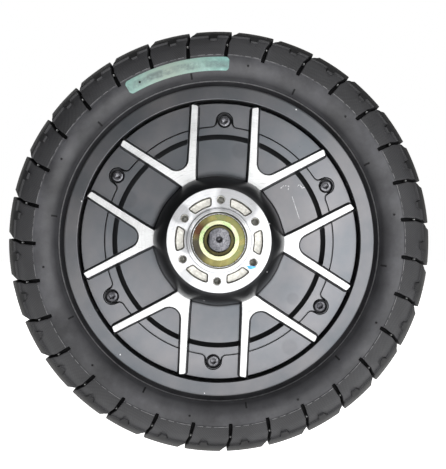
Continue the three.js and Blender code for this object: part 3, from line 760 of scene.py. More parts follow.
def skin_curve():
    """The skin as dense arrays: arc length, radius, out, and the unit normal's two parts."""
    points = np.array([(r, -o) for r, o in TYRE_SKIN[:0:-1]] + TYRE_SKIN)
    dense = []
    for i in range(1, len(points) - 2):
        p0, p1, p2, p3 = points[i - 1:i + 3]
        square = 2 * p0 - 5 * p1 + 4 * p2 - p3
        cube = 3 * p1 - p0 - 3 * p2 + p3
        for t in np.linspace(0, 1, 12, endpoint=False):
            dense.append(0.5 * (2 * p1 + (p2 - p0) * t + square * t * t + cube * t ** 3))
    dense = np.array(dense)
    step = np.linalg.norm(np.diff(dense, axis=0), axis=1)
    length = np.concatenate([[0], np.cumsum(step)])
    length -= np.interp(0, dense[:, 1], length)
    tangent = np.gradient(dense, length, axis=0)
    tangent /= np.linalg.norm(tangent, axis=1)[:, None]
    return length, dense[:, 0], dense[:, 1], tangent[:, 1], -tangent[:, 0]


SKIN = skin_curve()
FRONT_HALF = SKIN[0] >= 0


def off_skin(place, lift):
    """(radius, out) at an arc length from the middle of the tread, lifted off along the normal."""
    radius, out, radial, axial = [np.interp(place, SKIN[0], row) for row in SKIN[1:]]
    return radius + radial * lift, out + axial * lift


def length_at(radius):
    """Arc length from the middle of the tread to a radius on the sidewall."""
    return np.interp(-radius, -SKIN[1][FRONT_HALF], SKIN[0][FRONT_HALF])


def smooth_step(value, start, end):
    t = np.clip((value - start) / (end - start), 0, 1)
    return t * t * (3 - 2 * t)


def cap_edge(fraction):
    """Radius of the cap's edge across a pitch: a tab reaches inwards near the middle."""
    tab = np.interp(fraction, [0.30, 0.335, 0.485, 0.52], [0, 1, 1, 0], left=0, right=0)
    return CAP_EDGE_RADIUS + (TAB_EDGE_RADIUS - CAP_EDGE_RADIUS) * tab


def groove_lean(radius):
    """Degrees by which a groove has turned clockwise, seen from the front, from its inner end."""
    return -0.4 * smooth_step(radius, 102, 113) - 1.6 * smooth_step(radius, 112, 122)


def groove_width(radius):
    return np.interp(radius, [102, 104, 110, 114, 118], [1.6, 2.3, 1.9, 1.4, 1.5])


# Columns of a tread block in fractions of a pitch, counted from the groove's middle.
BLOCK_COLUMNS = np.array([0.12, 0.2, 0.27, 0.30, 0.335, 0.41, 0.485, 0.52, 0.56, 0.66, 0.76, 0.85])
# Rows of the tyre's mesh: distances from the middle, then the cap's edge, then radii.
CROWN_ROWS = (0, 2.5, 5, 7.5, 10, 13, 16, 19, 21.5)
EDGE_ROWS = ("top", "bottom")
WALL_ROWS = (
    112.0, 110.6, 109, 107.4, 106.2, 105.1, 104.4, 104.05, 103.7, 103.3, 102.9, 102.5, 102.2, 101.8, 101.2,
    100.4, 99.4, 98.3, 97.2, 96, 94.8, 93.6, 92.6, 91.7, 90.9, 90.55, 90.35, 90.15, 89.9, 89.5, 89, 88.3,
    87.2, 85.4, 83.6)


def groove_section(radius):
    """Degrees from the groove's middle to its six section points, and how far each is sunk."""
    crown = smooth_step(radius, 117.5, 122.0)
    half = groove_width(radius) / 2
    depth = 3.2 * smooth_step(radius, GROOVE_END_RADIUS - 0.3, GROOVE_END_RADIUS + 1.2)
    # The points lie in mm on the shoulder, and in degrees on the crown.
    on_shoulder = np.array([-half - 0.35, -half, -half + 0.25, half - 0.25, half, half + 0.3])
    on_crown = np.array([-1.45, -0.55, -0.42, 0.36, 0.50, 0.62])
    lips = np.degrees(on_shoulder / radius) * (1 - crown) + on_crown * crown
    chamfers = (0.25 * (1 - crown) + 1.35 * crown, 0.15 * (1 - crown) + 0.3 * crown)
    return lips, np.array([0, min(chamfers[0], depth), depth, depth, min(chamfers[1], depth), 0])


def row_middle(row):
    """Arc length at which a row of the tyre's mesh crosses the groove, and the height of its block."""
    if row in EDGE_ROWS:
        place = length_at(CAP_EDGE_RADIUS) + (-0.2 if row == "top" else 0.2)
        return place, 0.0 if row == "top" else -CROWN_STEP
    if row < 30:
        return np.interp(row, SKIN[2][FRONT_HALF], SKIN[0][FRONT_HALF]), 0.0
    level = -CROWN_STEP
    if row > CAP_EDGE_RADIUS:
        level = 0.0
    elif row <= SHOULDER_EDGE_RADIUS:
        level -= SHOULDER_STEP
    level += 0.5 * math.exp(-((row - BEAD_LINE_RADIUS) / 0.22) ** 2)
    place = length_at(row)
    radius, _ = off_skin(place, 0)
    return place, level * smooth_step(radius, 86.0, 89.5)


def tyre_row(row, side):
    """Radii, y and angles of one row of the tyre's outside, over every pitch."""
    pitch = 360 / TREAD_PITCHES
    middle, level = row_middle(row)
    radius, out = off_skin(middle, 0)
    lips, drops = groove_section(radius)
    low, high = lips[-1] / pitch, 1 + lips[0] / pitch
    spread = low + (high - low) * (BLOCK_COLUMNS - 0.05) / 0.9
    inside = np.clip((out - 12) / 6, 0, 1)
    block = spread * (1 - inside) + BLOCK_COLUMNS * inside
    fractions = np.concatenate([lips / pitch, block])
    place = np.full(len(fractions), middle)
    if row in EDGE_ROWS:
        place = length_at(cap_edge(fractions) + (0.12 if row == "top" else -0.12))
    push = level - np.concatenate([drops, np.zeros(len(block))])
    radii, outs = off_skin(place, push)
    turns = np.concatenate([pitch * (k + fractions) for k in range(TREAD_PITCHES)])
    angles = np.radians(TREAD_PHASE + groove_lean(radius) + turns)
    return np.tile(radii, TREAD_PITCHES), side * np.tile(outs, TREAD_PITCHES), angles


def tyre_material(radius, y, degrees):
    """Numbers: 0 tread, 1 shoulder, 2 sidewall, 3 shoulder's edge, 4 groove in painted shade, 5 bead line
    with a painted highlight.
    """
    pitch = 360 / TREAD_PITCHES
    out = np.abs(y)
    fraction = ((degrees - TREAD_PHASE - groove_lean(radius)) / pitch) % 1.0
    cap_here = radius > cap_edge(fraction)
    is_shoulder = (radius > SHOULDER_EDGE_RADIUS) & ~cap_here & (out > 26)
    is_cap = cap_here | ((radius > SHOULDER_EDGE_RADIUS) & ~is_shoulder)
    skin = np.where(is_shoulder, 1, np.where(is_cap, 0, 2))
    skin = np.where(np.abs(radius - SHOULDER_EDGE_RADIUS) < 0.15, 3, skin)
    skin = np.where((np.abs(radius - BEAD_LINE_RADIUS - 0.6) < 0.3) & (out > 20), 5, skin)
    off_middle = np.radians((np.mod(fraction + 0.5, 1.0) - 0.5) * pitch) * radius
    in_groove = (np.abs(off_middle) < groove_width(radius) / 2 - 0.05) & (radius > GROOVE_END_RADIUS)
    return np.where(in_groove & (radius < 119) & (out > 20), 4, skin)


def make_tyre(materials):
    half = [*CROWN_ROWS, 118.4, *EDGE_ROWS, *WALL_ROWS]
    grid = [tyre_row(row, FRONT) for row in reversed(half)] + [tyre_row(row, REAR) for row in half[1:]]
    first_angles = grid[0][2]
    level = np.ones(len(first_angles))
    lining = [(r, REAR * o) for r, o in TYRE_LINING] + [(r, FRONT * o) for r, o in TYRE_LINING[-2::-1]]
    grid += [(r * level, y * level, first_angles) for r, y in lining]
    verts = np.concatenate([np.stack([r * np.cos(a), y, r * np.sin(a)], axis=1) for r, y, a in grid])
    faces = ring_quads(len(grid), len(first_angles), closed=True)
    return new_object("tyre_body", verts, faces, materials, tyre_material, FINE_CREASE, turned=False)


def skin_point(radius, lift):
    """(radius, out) on the plain sidewall, lifted off it along its normal."""
    return off_skin(length_at(radius), lift - CROWN_STEP - SHOULDER_STEP)


def make_patch(material):
    """The maker's hot patch, left plain: a strip vulcanised to the sidewall."""
    inner, outer, start, end = 94.8, 102.9, 86.7, 121.0
    across = np.linspace(0, 1, 9)
    sheet = [(a, True) for a in across] + [(a, False) for a in across[::-1]]
    along = np.concatenate([np.linspace(0, 0.06, 9), np.linspace(0.08, 0.92, 60), np.linspace(0.94, 1, 9)])
    verts = []
    for b in along:
        edge_b = min(b, 1 - b) / 0.02
        width = 1 - 0.4 * max(0.0, 1 - edge_b / 1.5) ** 2
        for a, is_top in sheet:
            lift = 0.16 * min(1, min(a, 1 - a) / 0.1, edge_b) + 0.02 if is_top else -0.3
            r, out = skin_point(inner + (outer - inner) * (0.5 + (a - 0.5) * width), lift)
            verts.append(round_axle(r, FRONT * out, start + (end - start) * b))
    faces = stacked_faces(len(along), len(sheet))
    return new_object("sidewall_patch", verts, faces, [material], turned=False)


def vent_stub(side, degrees):
    r, out = skin_point(VENT_RADIUS, 0.16)
    rows = [(0, out - 0.6), (0.62, out - 0.6), (0.62, out + 0.12), (0.45, out + 0.3), (0, out + 0.3)]
    verts, faces = turned_body(rows, side, 14)
    return moved_out(verts, r, degrees), faces


def bead_bar(side, degrees):
    section = ((-0.3, 0.32), (0.14, 0.3), (0.26, 0.14), (0.26, -0.14), (0.14, -0.3), (-0.3, -0.32))
    verts = []
    for radius in np.linspace(91.2, 94.4, 6):
        for lift, half in section:
            r, out = skin_point(radius, lift)
            verts.append(round_axle(r, side * out, degrees + half))
    return np.array(verts), stacked_faces(6, 6)


def make_sidewall_marks(material):
    """Vent stubs, and short bars across the bead left by the mould."""
    spacing = 36
    copies = []
    for side in (FRONT, REAR):
        for angle in range(0, 360, spacing):
            copies += [vent_stub(side, 8.5 + angle), bead_bar(side, 27.4 + angle)]
    return new_object("sidewall_marks", *several(copies), [material], turned=False)


def make_groove_nibs(material):
    """Small pegs of rubber left by the mould in each shoulder groove; their pale rubber is a painted glint.
    """
    r, out = skin_point(NIB_RADIUS, CROWN_STEP)
    peg = [(0, -2.9), (0.52, -2.9), (0.46, -0.8), (0.34, -0.5), (0.17, -0.4), (0, -0.38)]
    copies = []
    for side in (FRONT, REAR):
        for k in range(TREAD_PITCHES):
            verts, faces = turned_body([(a, out + b) for a, b in peg], side, 10)
            angle = TREAD_PHASE + groove_lean(NIB_RADIUS) + 360 / TREAD_PITCHES * k
            copies.append((moved_out(verts, r, angle), faces))
    return new_object("groove_nibs", *several(copies), [material], turned=False)


# -------- rim

def make_rim(paint, machined, steep_shade):
    flange = [
        (RECESS_RADIUS, FLANGE_OUT, 0.35), (FLANGE_RADIUS, FLANGE_OUT, 1.2), (FLANGE_RADIUS, 24.0, 0.8),
        (BEAD_SEAT_RADIUS, 24.0, 0.6), (BEAD_SEAT_RADIUS, 13.0, 0.8), (76.0, 10.0, 2.0),
    ]
    outline = [(r, -o, c) for r, o, c in flange] + [(r, o, c) for r, o, c in reversed(flange)]
    outline += [
        (79.4, REAR_WALL_OUT, 1.6), (62.5, REAR_WALL_OUT, 0.8), (61.5, 24.8, 0.8), (59.5, 24.8, 0.8),
        (58.5, REAR_WALL_OUT, 0.8), (35.6, REAR_WALL_OUT, 3.0), (33.2, 33.0, 2.5), (29.6, 41.0, 3.0),
        (26.6, 44.0, 1.6), (24.6, 44.0, 0.5), (HUB_BORE, 44.0, 0.6), *[(r, o, 0) for r, o in BEARING_POCKET],
        (24.0, 26.0, 0.5), (29.0, 18.8, 1.0), (DRUM_RADIUS, 18.8, 1.0), (DRUM_RADIUS, -19.0, 0.4),
        (79.7, -19.0, 0.3),
    ]

    def pick(radius, y, _):
        drum = (radius < DRUM_RADIUS + 0.05) & (y < 18.7)
        return np.where((radius < 17.7) | ((y > 43.95) & (radius < 26.0)) | drum, 1, 0)

    body = turned_body(soften(outline, 0.3, 3), REAR, 240, closed=True)
    return new_object("rim_body", *body, [paint, machined, steep_shade], pick, steep_shade=2)


def make_rear_ribs(paint, steep_shade):
    """Twelve tapered stiffening ribs and the valve's boss on the rear wall."""
    def wall(at):
        return np.full(len(at), REAR_WALL_OUT)

    rib = [(34.0, -1.3, 0.2), (77.4, -0.9, 0.9), (77.4, 0.9, 0.9), (34.0, 1.3, 0.2)]
    verts, faces = raised_body(sampled(soften(rib, 0.5, 3), 2.0), wall, 26.4, 23.0, 0.35, 0.4, 0.9)
    copies = [(on_side(verts, REAR, angle), faces) for angle in range(15, 360, 30)]
    turn = even_angles(40)
    boss = np.column_stack([6.4 * np.cos(turn) + 72.0, 6.4 * np.sin(turn)])
    verts, faces = raised_body(boss, wall, 25.6, 23.0, 0.3, 0.5, 0.9)
    copies.append((on_side(verts, REAR, 90), faces))
    return new_object("rear_ribs", *several(copies), [paint, steep_shade], steep_shade=1)


# -------- side cover

def cover_angles():
    """Columns round the cover: close together over the ears and the spoke roots."""
    # Columns on one side of a root: a few between it and the ear, and one at each bend of the ear.
    half = [*np.arange(12.5, 21, 2), *[30 - bend for bend in (3.7, 3.83, 3.9, 6.35)]]
    sixth = [*np.arange(-11, 11.01, 0.75), *half, *[-v for v in half], *np.arange(22, 38.01, 0.5)]
    angles = {round(float(v + 60 * k) % 360, 4) for v in sixth for k in range(6)}
    return np.radians(sorted(angles))


def pad_edge(angles, extra=0.0):
    """Radius of the groove that runs round the pad and out over the screw ears."""
    turn = np.radians(np.abs(np.mod(np.degrees(angles), 60) - 30))
    ear = EAR_RADIUS + extra
    fillet = EAR_FILLET - extra
    circle = PAD_RADIUS + extra
    reach = circle + fillet
    centre = SCREW_CIRCLE
    spread = math.acos((reach ** 2 + centre ** 2 - (ear + fillet) ** 2) / (2 * reach * centre))
    lobe = centre * np.cos(turn) + np.sqrt(np.maximum(0, ear ** 2 - (centre * np.sin(turn)) ** 2))
    away = spread - turn
    bend = reach * np.cos(away) - np.sqrt(np.maximum(0, fillet ** 2 - (reach * np.sin(away)) ** 2))
    return np.where(turn < math.asin(ear / centre), lobe, np.where(turn < spread, bend, circle))


def root_shape(angles):
    """1 over the root of a spoke pair, falling to 0 beside it."""
    turn = np.abs(np.mod(np.degrees(angles) + 30, 60) - 30)
    return 1 - smooth_step(turn, 2.0, 18.0)


def web_height(at):
    """Height of the cover's face under points (x, z)."""
    radius = np.hypot(at[:, 0], at[:, 1])
    return np.interp(radius, [58.3, 60.8, 65.0, 65.6], [WELL_OUT, PAD_OUT, PAD_OUT, COVER_OUT])


def make_cover_body(materials):
    angles = cover_angles()
    edge = pad_edge(angles)
    wide = pad_edge(angles, PAD_GROOVE_HALF)
    slim = pad_edge(angles, -PAD_GROOVE_HALF)
    root = root_shape(angles)
    # The dome's profile: radius, out, and how far it swells over the root of a spoke pair.
    dome = [
        (38.6, WELL_OUT, 1.15), (37.6, 22.62, 1.15), (36.95, 23.05, 1.15), (36.65, 23.8, 1.15),
        (36.5, 25.2, 1.15), (36.35, 27, 1.1), (36.1, 29, 1.0), (35.8, 31.5, 0.85), (35.3, 34.2, 0.65),
        (34.5, 37, 0.42), (33.5, 39.6, 0.2),
    ]
    rows = [
        (COVER_RADIUS, 19.3), (COVER_RADIUS, 23.2), (COVER_RADIUS - 0.12, 23.7),
        (COVER_RADIUS - 0.5, COVER_OUT), (77.5, COVER_OUT), (75.2, COVER_OUT),
        (np.maximum(wide + 0.15, 66.6), COVER_OUT), (wide, COVER_OUT),
        (edge + 0.07, PAD_GROOVE_OUT), (edge - 0.07, PAD_GROOVE_OUT), (slim, PAD_OUT),
        (np.minimum(slim - 0.2, 64.2), PAD_OUT),
        (62.4, PAD_OUT), (61.1, PAD_OUT), (60.95, PAD_OUT), (60.75, PAD_OUT - 0.13), (60.5, PAD_OUT - 0.4),
        (59.9, 23.7), (59.2, 23.1), (58.7, 22.75),
        *[(r, WELL_OUT) for r in (58.35, 58.2, 57.4, 54, 48, 43.5, 40.5)],
        *[(r + grow * root, out) for r, out, grow in dome],
        (32.2, 42), (30.8, 44.1), (29.5, 45.7), (28.55, 46.65), (28.3, 46.88),
        *[(r, HUB_FACE_OUT) for r in (HUB_FACE_RADIUS, 27.2, 25.2, 18.3, 18.0)],
        (17.9, 46.85), (17.6, 46.85), (SPIGOT_RADIUS, 47.2), (SPIGOT_RADIUS, 48.0),
        (17.2, SPIGOT_OUT - 0.05), (16.9, SPIGOT_OUT), (16.4, SPIGOT_OUT), (16.3, 48.2), (16.1, 48.2),
        (16.0, SPIGOT_OUT), (15.4, SPIGOT_OUT), (15.1, 48.3), (HUB_BORE, 48.1), (HUB_BORE, 44),
        *BEARING_POCKET, (24, 26), (29, 18.8), (61.5, 18.8), (61.5, 16.4), (64.3, 16.4), (64.3, 19.3),
    ]
    verts, faces = ring_grid([(r, FRONT * o) for r, o in rows], angles)

    def pick(radius, y, _):
        bare = ((y < -46.93) & (radius < 28.3)) | ((radius < 18.1) & (y < -26)) | (y > -18.9)
        # The bore's wall inside the spigot takes the dark corner metal: painted shade.
        bore_in_shade = (radius < 15.2) & (y > -48.3)
        return np.where(bore_in_shade, 4, np.where(bare, 1, 0))

    return new_object("cover_body", verts, faces, materials, pick, FINE_CREASE, steep_shade=5)


def disc_hole():
    """Tool for one of the disc's tapped holes, with its thread and chamfer."""
    minor, major, pitch = 1.9, 2.1, 0.7
    rows = [(0, 35), (minor, 36)]
    for k in range(14):
        base = 36.2 + k * pitch
        rows += [(minor, base), (major, base + pitch / 2)]
    rows += [(major, 46.65), (2.4, HUB_FACE_OUT + 0.02), (2.4, 48), (0, 48)]
    return turned_body(rows, FRONT, 28)


def hub_pocket():
    """Tool for one of the hub face's cast pockets, across +X."""
    def arc(radius, degrees, corner):
        ends = (degrees[0], degrees[-1])
        turns = [(a, math.radians(a)) for a in degrees]
        return [(math.cos(t) * radius, math.sin(t) * radius, corner if a in ends else 0) for a, t in turns]

    inner = arc(19.1, (-14.2, -7, 0, 7, 14.2), 1.1)
    outer = arc(23.5, (16.9, 10.5, 5, 0, -5, -10.5, -16.9), 1.5)
    outline = counter_clockwise(sampled(soften(inner + outer, 0, 5), 0.8))
    normals = outline_normals(outline)
    top = HUB_FACE_OUT + 0.03
    levels = [(-0.65, 45.0), (-0.4, 45.06), (-0.1, 45.4), (0.28, 46.8), (0.42, top), (0.42, 48.0)]
    rings = [np.column_stack([outline + normals * o, np.full(len(outline), h)]) for o, h in levels]
    return np.concatenate(rings), stacked_faces(len(levels), len(outline))


def counterbore():
    """Tool for the seat of one of the cover's screws."""
    rows = [(0, 21.5), (3.65, 21.5), (3.65, PAD_OUT - 0.45), (4.2, PAD_OUT + 0.05), (4.2, 26), (0, 26)]
    return turned_body(rows, FRONT, 40)


def cover_cutters(materials):
    """All the tools that cut the cover, as one body."""
    hole, hole_faces = disc_hole()
    pocket, pocket_faces = hub_pocket()
    bore, bore_faces = counterbore()
    copies = [(moved_out(hole, DISC_BOLT_CIRCLE, angle), hole_faces) for angle in range(30, 360, 60)]
    copies += [(on_side(pocket, FRONT, angle), pocket_faces) for angle in range(0, 360, 60)]
    copies += [(moved_out(bore, SCREW_CIRCLE, angle), bore_faces) for angle in range(30, 360, 60)]

    def pick(radius, y, degrees):
        turn = np.abs(np.mod(degrees + 30, 60) - 30)
        hole_look = np.where(-y > HUB_FACE_OUT - 0.3, 1, 3)
        # Pocket walls take the dark corner metal: painted shade where the walls lie in shadow.
        pocket_look = np.where(-y > 45.2, 4, 2)
        # Screw counterbores, beyond 40 mm, take material 5: the painted-shade black.
        return np.where(radius > 40, 5, np.where(turn > 20, hole_look, pocket_look))

    return new_object("cover_tools", *several(copies), materials, pick)


def spoke_outline():
    """Flat top of a spoke pair, in the pair's own frame with its axis along +X."""
    direction = np.array([math.cos(math.radians(SPOKE_ANGLE)), math.sin(math.radians(SPOKE_ANGLE))])
    side = np.array([direction[1], -direction[0]])
    end_radius, end_half, root_half = 78.2, 1.65, 1.95
    end_along = math.sqrt(end_radius ** 2 - SPOKE_OFFSET ** 2) - 0.4
    foot_along = 31.5

    def at(along, across):
        return tuple(direction * along + side * (SPOKE_OFFSET + across))

    crotch_radius = 7.0
    centre = (SPOKE_OFFSET + root_half + crotch_radius) / math.sin(math.radians(SPOKE_ANGLE))
    crotch = [
        (centre + crotch_radius * math.cos(a), crotch_radius * math.sin(a))
        for a in np.radians(np.linspace(SPOKE_ANGLE + 91, 180, 12))
    ]
    upper = [
        (*at(foot_along, -root_half - 0.5), 0.2), (*at(foot_along + 9, -root_half), 3.0),
        (*at(end_along, -end_half), 0.7), (*at(end_along + 0.5, end_half), 0.7),
        (*at(end_along - 12, end_half + 0.05), 2.0), *[(x, z, 0) for x, z in crotch],
    ]
    lower = [(x, -z, c) for x, z, c in reversed(upper[:-1])]
    return counter_clockwise(sampled(soften([*upper, *lower], 0, 5), 1.0))


def make_spokes(paint, machined, steep_shade, number):
    verts, faces = raised_body(spoke_outline(), web_height, SPOKE_OUT, 21.0, 1.05, 0.2, 0.6)
    verts = on_side(verts, FRONT, 60 * number)

    def pick(_, y, __):
        return np.where(-y > SPOKE_OUT - 0.015, 1, 0)

    return new_object(f"spoke_pair_{number + 1}", verts, faces, [paint, machined, steep_shade], pick, steep_shade=2)


def make_blue_dab(material):
    """A smear of marking paint beside one disc hole."""
    angles = even_angles(36)
    wobble = 1 + 0.16 * np.sin(3 * angles + 0.6) + 0.08 * np.sin(7 * angles)
    rings = []
    for scale, out in ((1.0, 46.9), (1.0, 47.01), (0.85, 47.05), (0.4, 47.06)):
        x = 17.95 + 2.4 * scale * wobble * np.cos(angles)
        z = -13.6 + 0.9 * scale * wobble * np.sin(angles)
        rings.append(np.column_stack([x, z, np.full(36, out)]))
    verts = on_side(np.concatenate(rings), FRONT)
    return new_object("paint_dab", verts, stacked_faces(4, 36), [material])


def make_screw(material, number):
    """Socket head cap screw, drawn on its own axis and moved to its place."""
    angles = even_angles(72)
    half_flat, head_radius = 1.5, 3.2
    flat = half_flat / np.cos(np.mod(angles, math.pi / 3) - math.pi / 6)
    knurl = head_radius + 0.05 * np.sign(np.sin(36 * angles))
    rows = [
        (0, 8.5), (1.4, 8.5), (1.9, 9.2), (1.9, 21.6), (3.0, 21.6), (knurl, 21.9), (knurl, 23.5),
        (3.16, 23.7), (2.95, 24.05), (2.6, 24.2), (flat + 0.25, 24.2), (flat, 24.0), (flat, 22.5),
        (1.2, 22.3), (0, 22.0),
    ]
    # Each socket stands at its own angle, as tightening left it.
    verts, faces = ring_grid([(r, FRONT * o) for r, o in rows], angles + 0.7 * number, closed=False)
    verts = moved_out(verts, SCREW_CIRCLE, 60 * number + 30)
    return new_object(f"screw_{number + 1}", verts, faces, [material])


# -------- axle and what sits on it

def make_axle(end_face, thread):
    pitch, start, half_flat = 1.25, 53.0, 4.85
    crest_radius, thread_depth = 5.98, 0.68
    corner = math.degrees(math.acos(half_flat / 6))
    marks = {*range(0, 360, 3), *[s + c for s in (0, 180) for c in (corner, -corner % 360)]}
    angles = np.radians(np.array(sorted(a % 360 for a in marks)))
    flat = half_flat / np.maximum(np.abs(np.cos(angles)), 1e-3)
    turn = angles / (2 * math.pi)

    def end_rows(side):
        """One threaded end with its two flats, from the shaft to the end face."""
        made = []
        for place in np.arange(start, 78.9, pitch / 4):
            wave = np.mod(place / pitch - side * turn, 1.0)
            cut = np.interp(wave, [0, 0.12, 0.5, 0.62, 1.0], [0, 0, 1, 1, 0])
            fade = np.clip((place - start) / 1.5, 0, 1)
            radius = crest_radius - thread_depth * cut * fade
            made.append((np.minimum(radius, flat) if place > 54.2 else radius, place))
        for radius, place in ((5.3, 79.1), (5.72, 79.45), (5.72, 79.75)):
            made.append((np.minimum(radius, flat), place))
        return [*made, (np.minimum(5.55, flat - 0.15), AXLE_END)]

    shaft = [(6.0, 52.6), (6.0, 38.4), (7.5, 37.8), (7.5, 26.7), (9.6, 26.6), (10.0, 26.2)]
    drill = [(1.75, AXLE_END), (1.6, 79.85), (1.05, 79.1), (1.0, 77.6), (0, 76.9)]
    front = [(r, FRONT * o) for r, o in drill[::-1] + end_rows(FRONT)[::-1] + shaft]
    bore = [(4.0, AXLE_END), (3.75, 79.7), (3.75, 15.0), (0, 15.0)]
    rear = [(r, REAR * o) for r, o in shaft[::-1] + end_rows(REAR) + bore]
    verts, faces = ring_grid(front + rear, angles, closed=False)

    def pick(radius, y, _):
        return np.where((np.abs(y) > 79.3) | (radius < 0.9), 0, 1)

    return new_object("axle_bar", verts, faces, [end_face, thread], pick, turned=False, crease=30)


def make_front_spacer(material):
    outline = [
        (6.35, 38.3), (9.8, 38.3), (9.8, 38.7), (14.6, 38.7), (14.6, 40.2, 0.3), (10.75, 40.2, 0.15),
        (10.75, 52.0, 0.22), (8.35, 52.0, 0.2), (8.3, 47.0, 0.3), (6.35, 46.9, 0.2),
    ]
    return turned_piece("plated_spacer", outline, FRONT, 128, material, turned=False)


def make_rear_spacer(material):
    outline = [(6.35, 38.3), (9.0, 38.3), (9.0, 52.0, 0.6), (6.35, 52.0, 0.4)]
    return turned_piece("rear_collar", outline, REAR, 96, material, turned=False)


def make_rear_seal(material):
    outline = [
        (14.8, 39.0), (14.8, 43.5, 0.3), (13.6, 43.7, 0.3), (13.2, 43.1, 0.3), (11.2, 43.1, 0.3),
        (10.6, 43.6, 0.3), (9.5, 42.7, 0.2), (9.3, 42.2, 0.1), (9.6, 41.7, 0.2), (10.9, 40.8, 0.3),
        (11.0, 39.0),
    ]
    return turned_piece("lip_seal", outline, REAR, 96, material, steps=3)


VALVE_SEAT = np.array([0, 10.0, 80.0])
VALVE_AXIS = np.array([0, 16.0, -8.0]) / math.hypot(16, 8)


def on_valve_axis(verts):
    """Moves a body drawn along +Y, with y = 0 at the rim's seat, onto the valve's axis."""
    turn = Vector((0, 1, 0)).rotation_difference(Vector(VALVE_AXIS)).to_matrix()
    return verts @ np.array(turn).T + VALVE_SEAT


def make_valve_stem(rubber_material, brass_material):
    outline = [
        (1.2, -9.5), (5.0, -9.5), (5.6, -7.5), (3.7, -4.0), (3.7, 12), (3.9, 17.0), (4.9, 18.4), (5.0, 20.8),
        (4.4, 21.8), (3.9, 22.2), (3.7, 26.5), (3.4, 27.6), (2.7, 28.0),
    ]
    thread = [(2.65 if k % 2 else 2.45, 28.0 + 0.25 * k) for k in range(1, 12)]
    rows = [*soften(outline, 0.4, 3)[:-1], *thread, (2.3, 31.0), (1.3, 31.0), (1.2, 30.6)]
    verts, faces = ring_grid(rows, even_angles(40))

    def pick(radius, y, _):
        along = (y - VALVE_SEAT[1]) * VALVE_AXIS[1] + (radius - VALVE_SEAT[2]) * VALVE_AXIS[2]
        return np.where(along > 27.9, 1, 0)

    return new_object("tyre_valve", on_valve_axis(verts), faces, [rubber_material, brass_material], pick)


def make_valve_cap(material):
    angles = even_angles(72)
    grip = 3.72 + 0.12 * np.cos(12 * angles)
    rows = [
        (0, 31.3), (3.2, 31.3), (3.6, 31.6), (3.7, 32.4), (grip, 33.0), (grip, 39.6), (3.6, 40.4),
        (3.2, 41.3), (2.2, 41.8), (0, 42),
    ]
    verts, faces = ring_grid(rows, angles, closed=False)
    return new_object("dust_cap", on_valve_axis(verts), faces, [material])


# -------- stage

def make_stage():
    """A glowing white floor just under the wheel, brightest in a pool in front of it."""
    floor_z = cad_box[0].z / MM - 0.6
    corners = ((-6, -6), (6, -6), (6, 6), (-6, 6))
    mesh = bpy.data.meshes.new("floor")
    mesh.from_pydata([(x, y, floor_z * MM) for x, y in corners], [], [(0, 1, 2, 3)])
    floor = placed(bpy.data.objects.new("floor", mesh))
    paint = Paint("pale_floor", (0.9, 0.9, 0.9), 0.8)
    paint.color(paint.ramp(paint.noise(8, 2), [(0.3, 0.88), (0.7, 0.92)]))
    paint.set("Emission Color", (1, 1, 1, 1))
    pool = paint.near((150, -700, floor_z), 850)
    paint.feed(paint.span(pool, 1.0, 3.9), paint.shader.inputs["Emission Strength"])
    mesh.materials.append(paint.material)


def make_light(name, place, target, size, brightness, roll=0.0):
    """A soft panel facing its target. Brightness is what a mirror would show, with 1 as white."""
    data = bpy.data.lights.new(name, "AREA")
    data.shape = "RECTANGLE"
    data.size, data.size_y = size
    data.energy = brightness * math.pi * size[0] * size[1]
    lamp = placed(bpy.data.objects.new(name, data))
    lamp.location = place
    aim = (Vector(target) - Vector(place)).to_track_quat("-Z", "Y")
    lamp.rotation_euler = (aim.to_matrix() @ Matrix.Rotation(math.radians(roll), 3, "Z")).to_euler()
    lamp.visible_camera = False


def make_world():
    """Soft grey room for light and reflections, and a plain white background."""
    world = bpy.data.worlds.new("studio")
    world.use_nodes = True
    bpy.context.scene.world = world
    nodes, links = world.node_tree.nodes, world.node_tree.links
    room = nodes["Background"]
    room.inputs[0].default_value = (0.96, 0.97, 1.0, 1)
    room.inputs[1].default_value = 0.10
    backdrop = nodes.new("ShaderNodeBackground")
    backdrop.inputs[0].default_value = (1, 1, 1, 1)
    backdrop.inputs[1].default_value = 1.0
    ray = nodes.new("ShaderNodeLightPath")
    blend = nodes.new("ShaderNodeMixShader")
    links.new(ray.outputs["Is Camera Ray"], blend.inputs[0])
    links.new(room.outputs[0], blend.inputs[1])
    links.new(backdrop.outputs[0], blend.inputs[2])
    links.new(blend.outputs[0], nodes["World Output"].inputs[0])


def make_camera():
    """A near camera, looking straight at the brake side."""
    data = bpy.data.cameras.new("camera")
    data.lens = 50.4
    data.sensor_width = 36.0
    data.shift_x = 0.0149
    data.shift_y = 0.033
    data.clip_start = 0.01
    camera = placed(bpy.data.objects.new("camera", data))
    camera.location = Vector((-1.6, -400.0, -5.1)) * MM
    camera.rotation_euler = (math.radians(90), 0, 0)
    bpy.context.scene.camera = camera


# -------- assembly

make_camera()
make_stage()
make_world()
make_light("low_window", (0.61, -1.5, -0.11), (0.61, 0, -0.11), (2.2, 1.14), 4.05, roll=35)
make_light("front_fill", (0.0, -1.8, 0.5), (0, 0, 0), (2.6, 2.0), 0.14)
make_light("upper_fill", (-0.1, -1.0, 1.35), (0, 0, 0), (1.6, 0.6), 1.1)
make_light("top_soft", (0.8, -0.3, 1.4), (0, 0, 0), (1.4, 1.4), 1.5)
make_light("rear_soft", (-0.5, 1.6, 0.6), (0, 0, 0), (1.6, 1.2), 1.6)
bpy.context.scene.view_settings.view_transform = "Standard"

black = black_paint()
rim_black = black_paint("satin_black_rim_paint", 0.79)
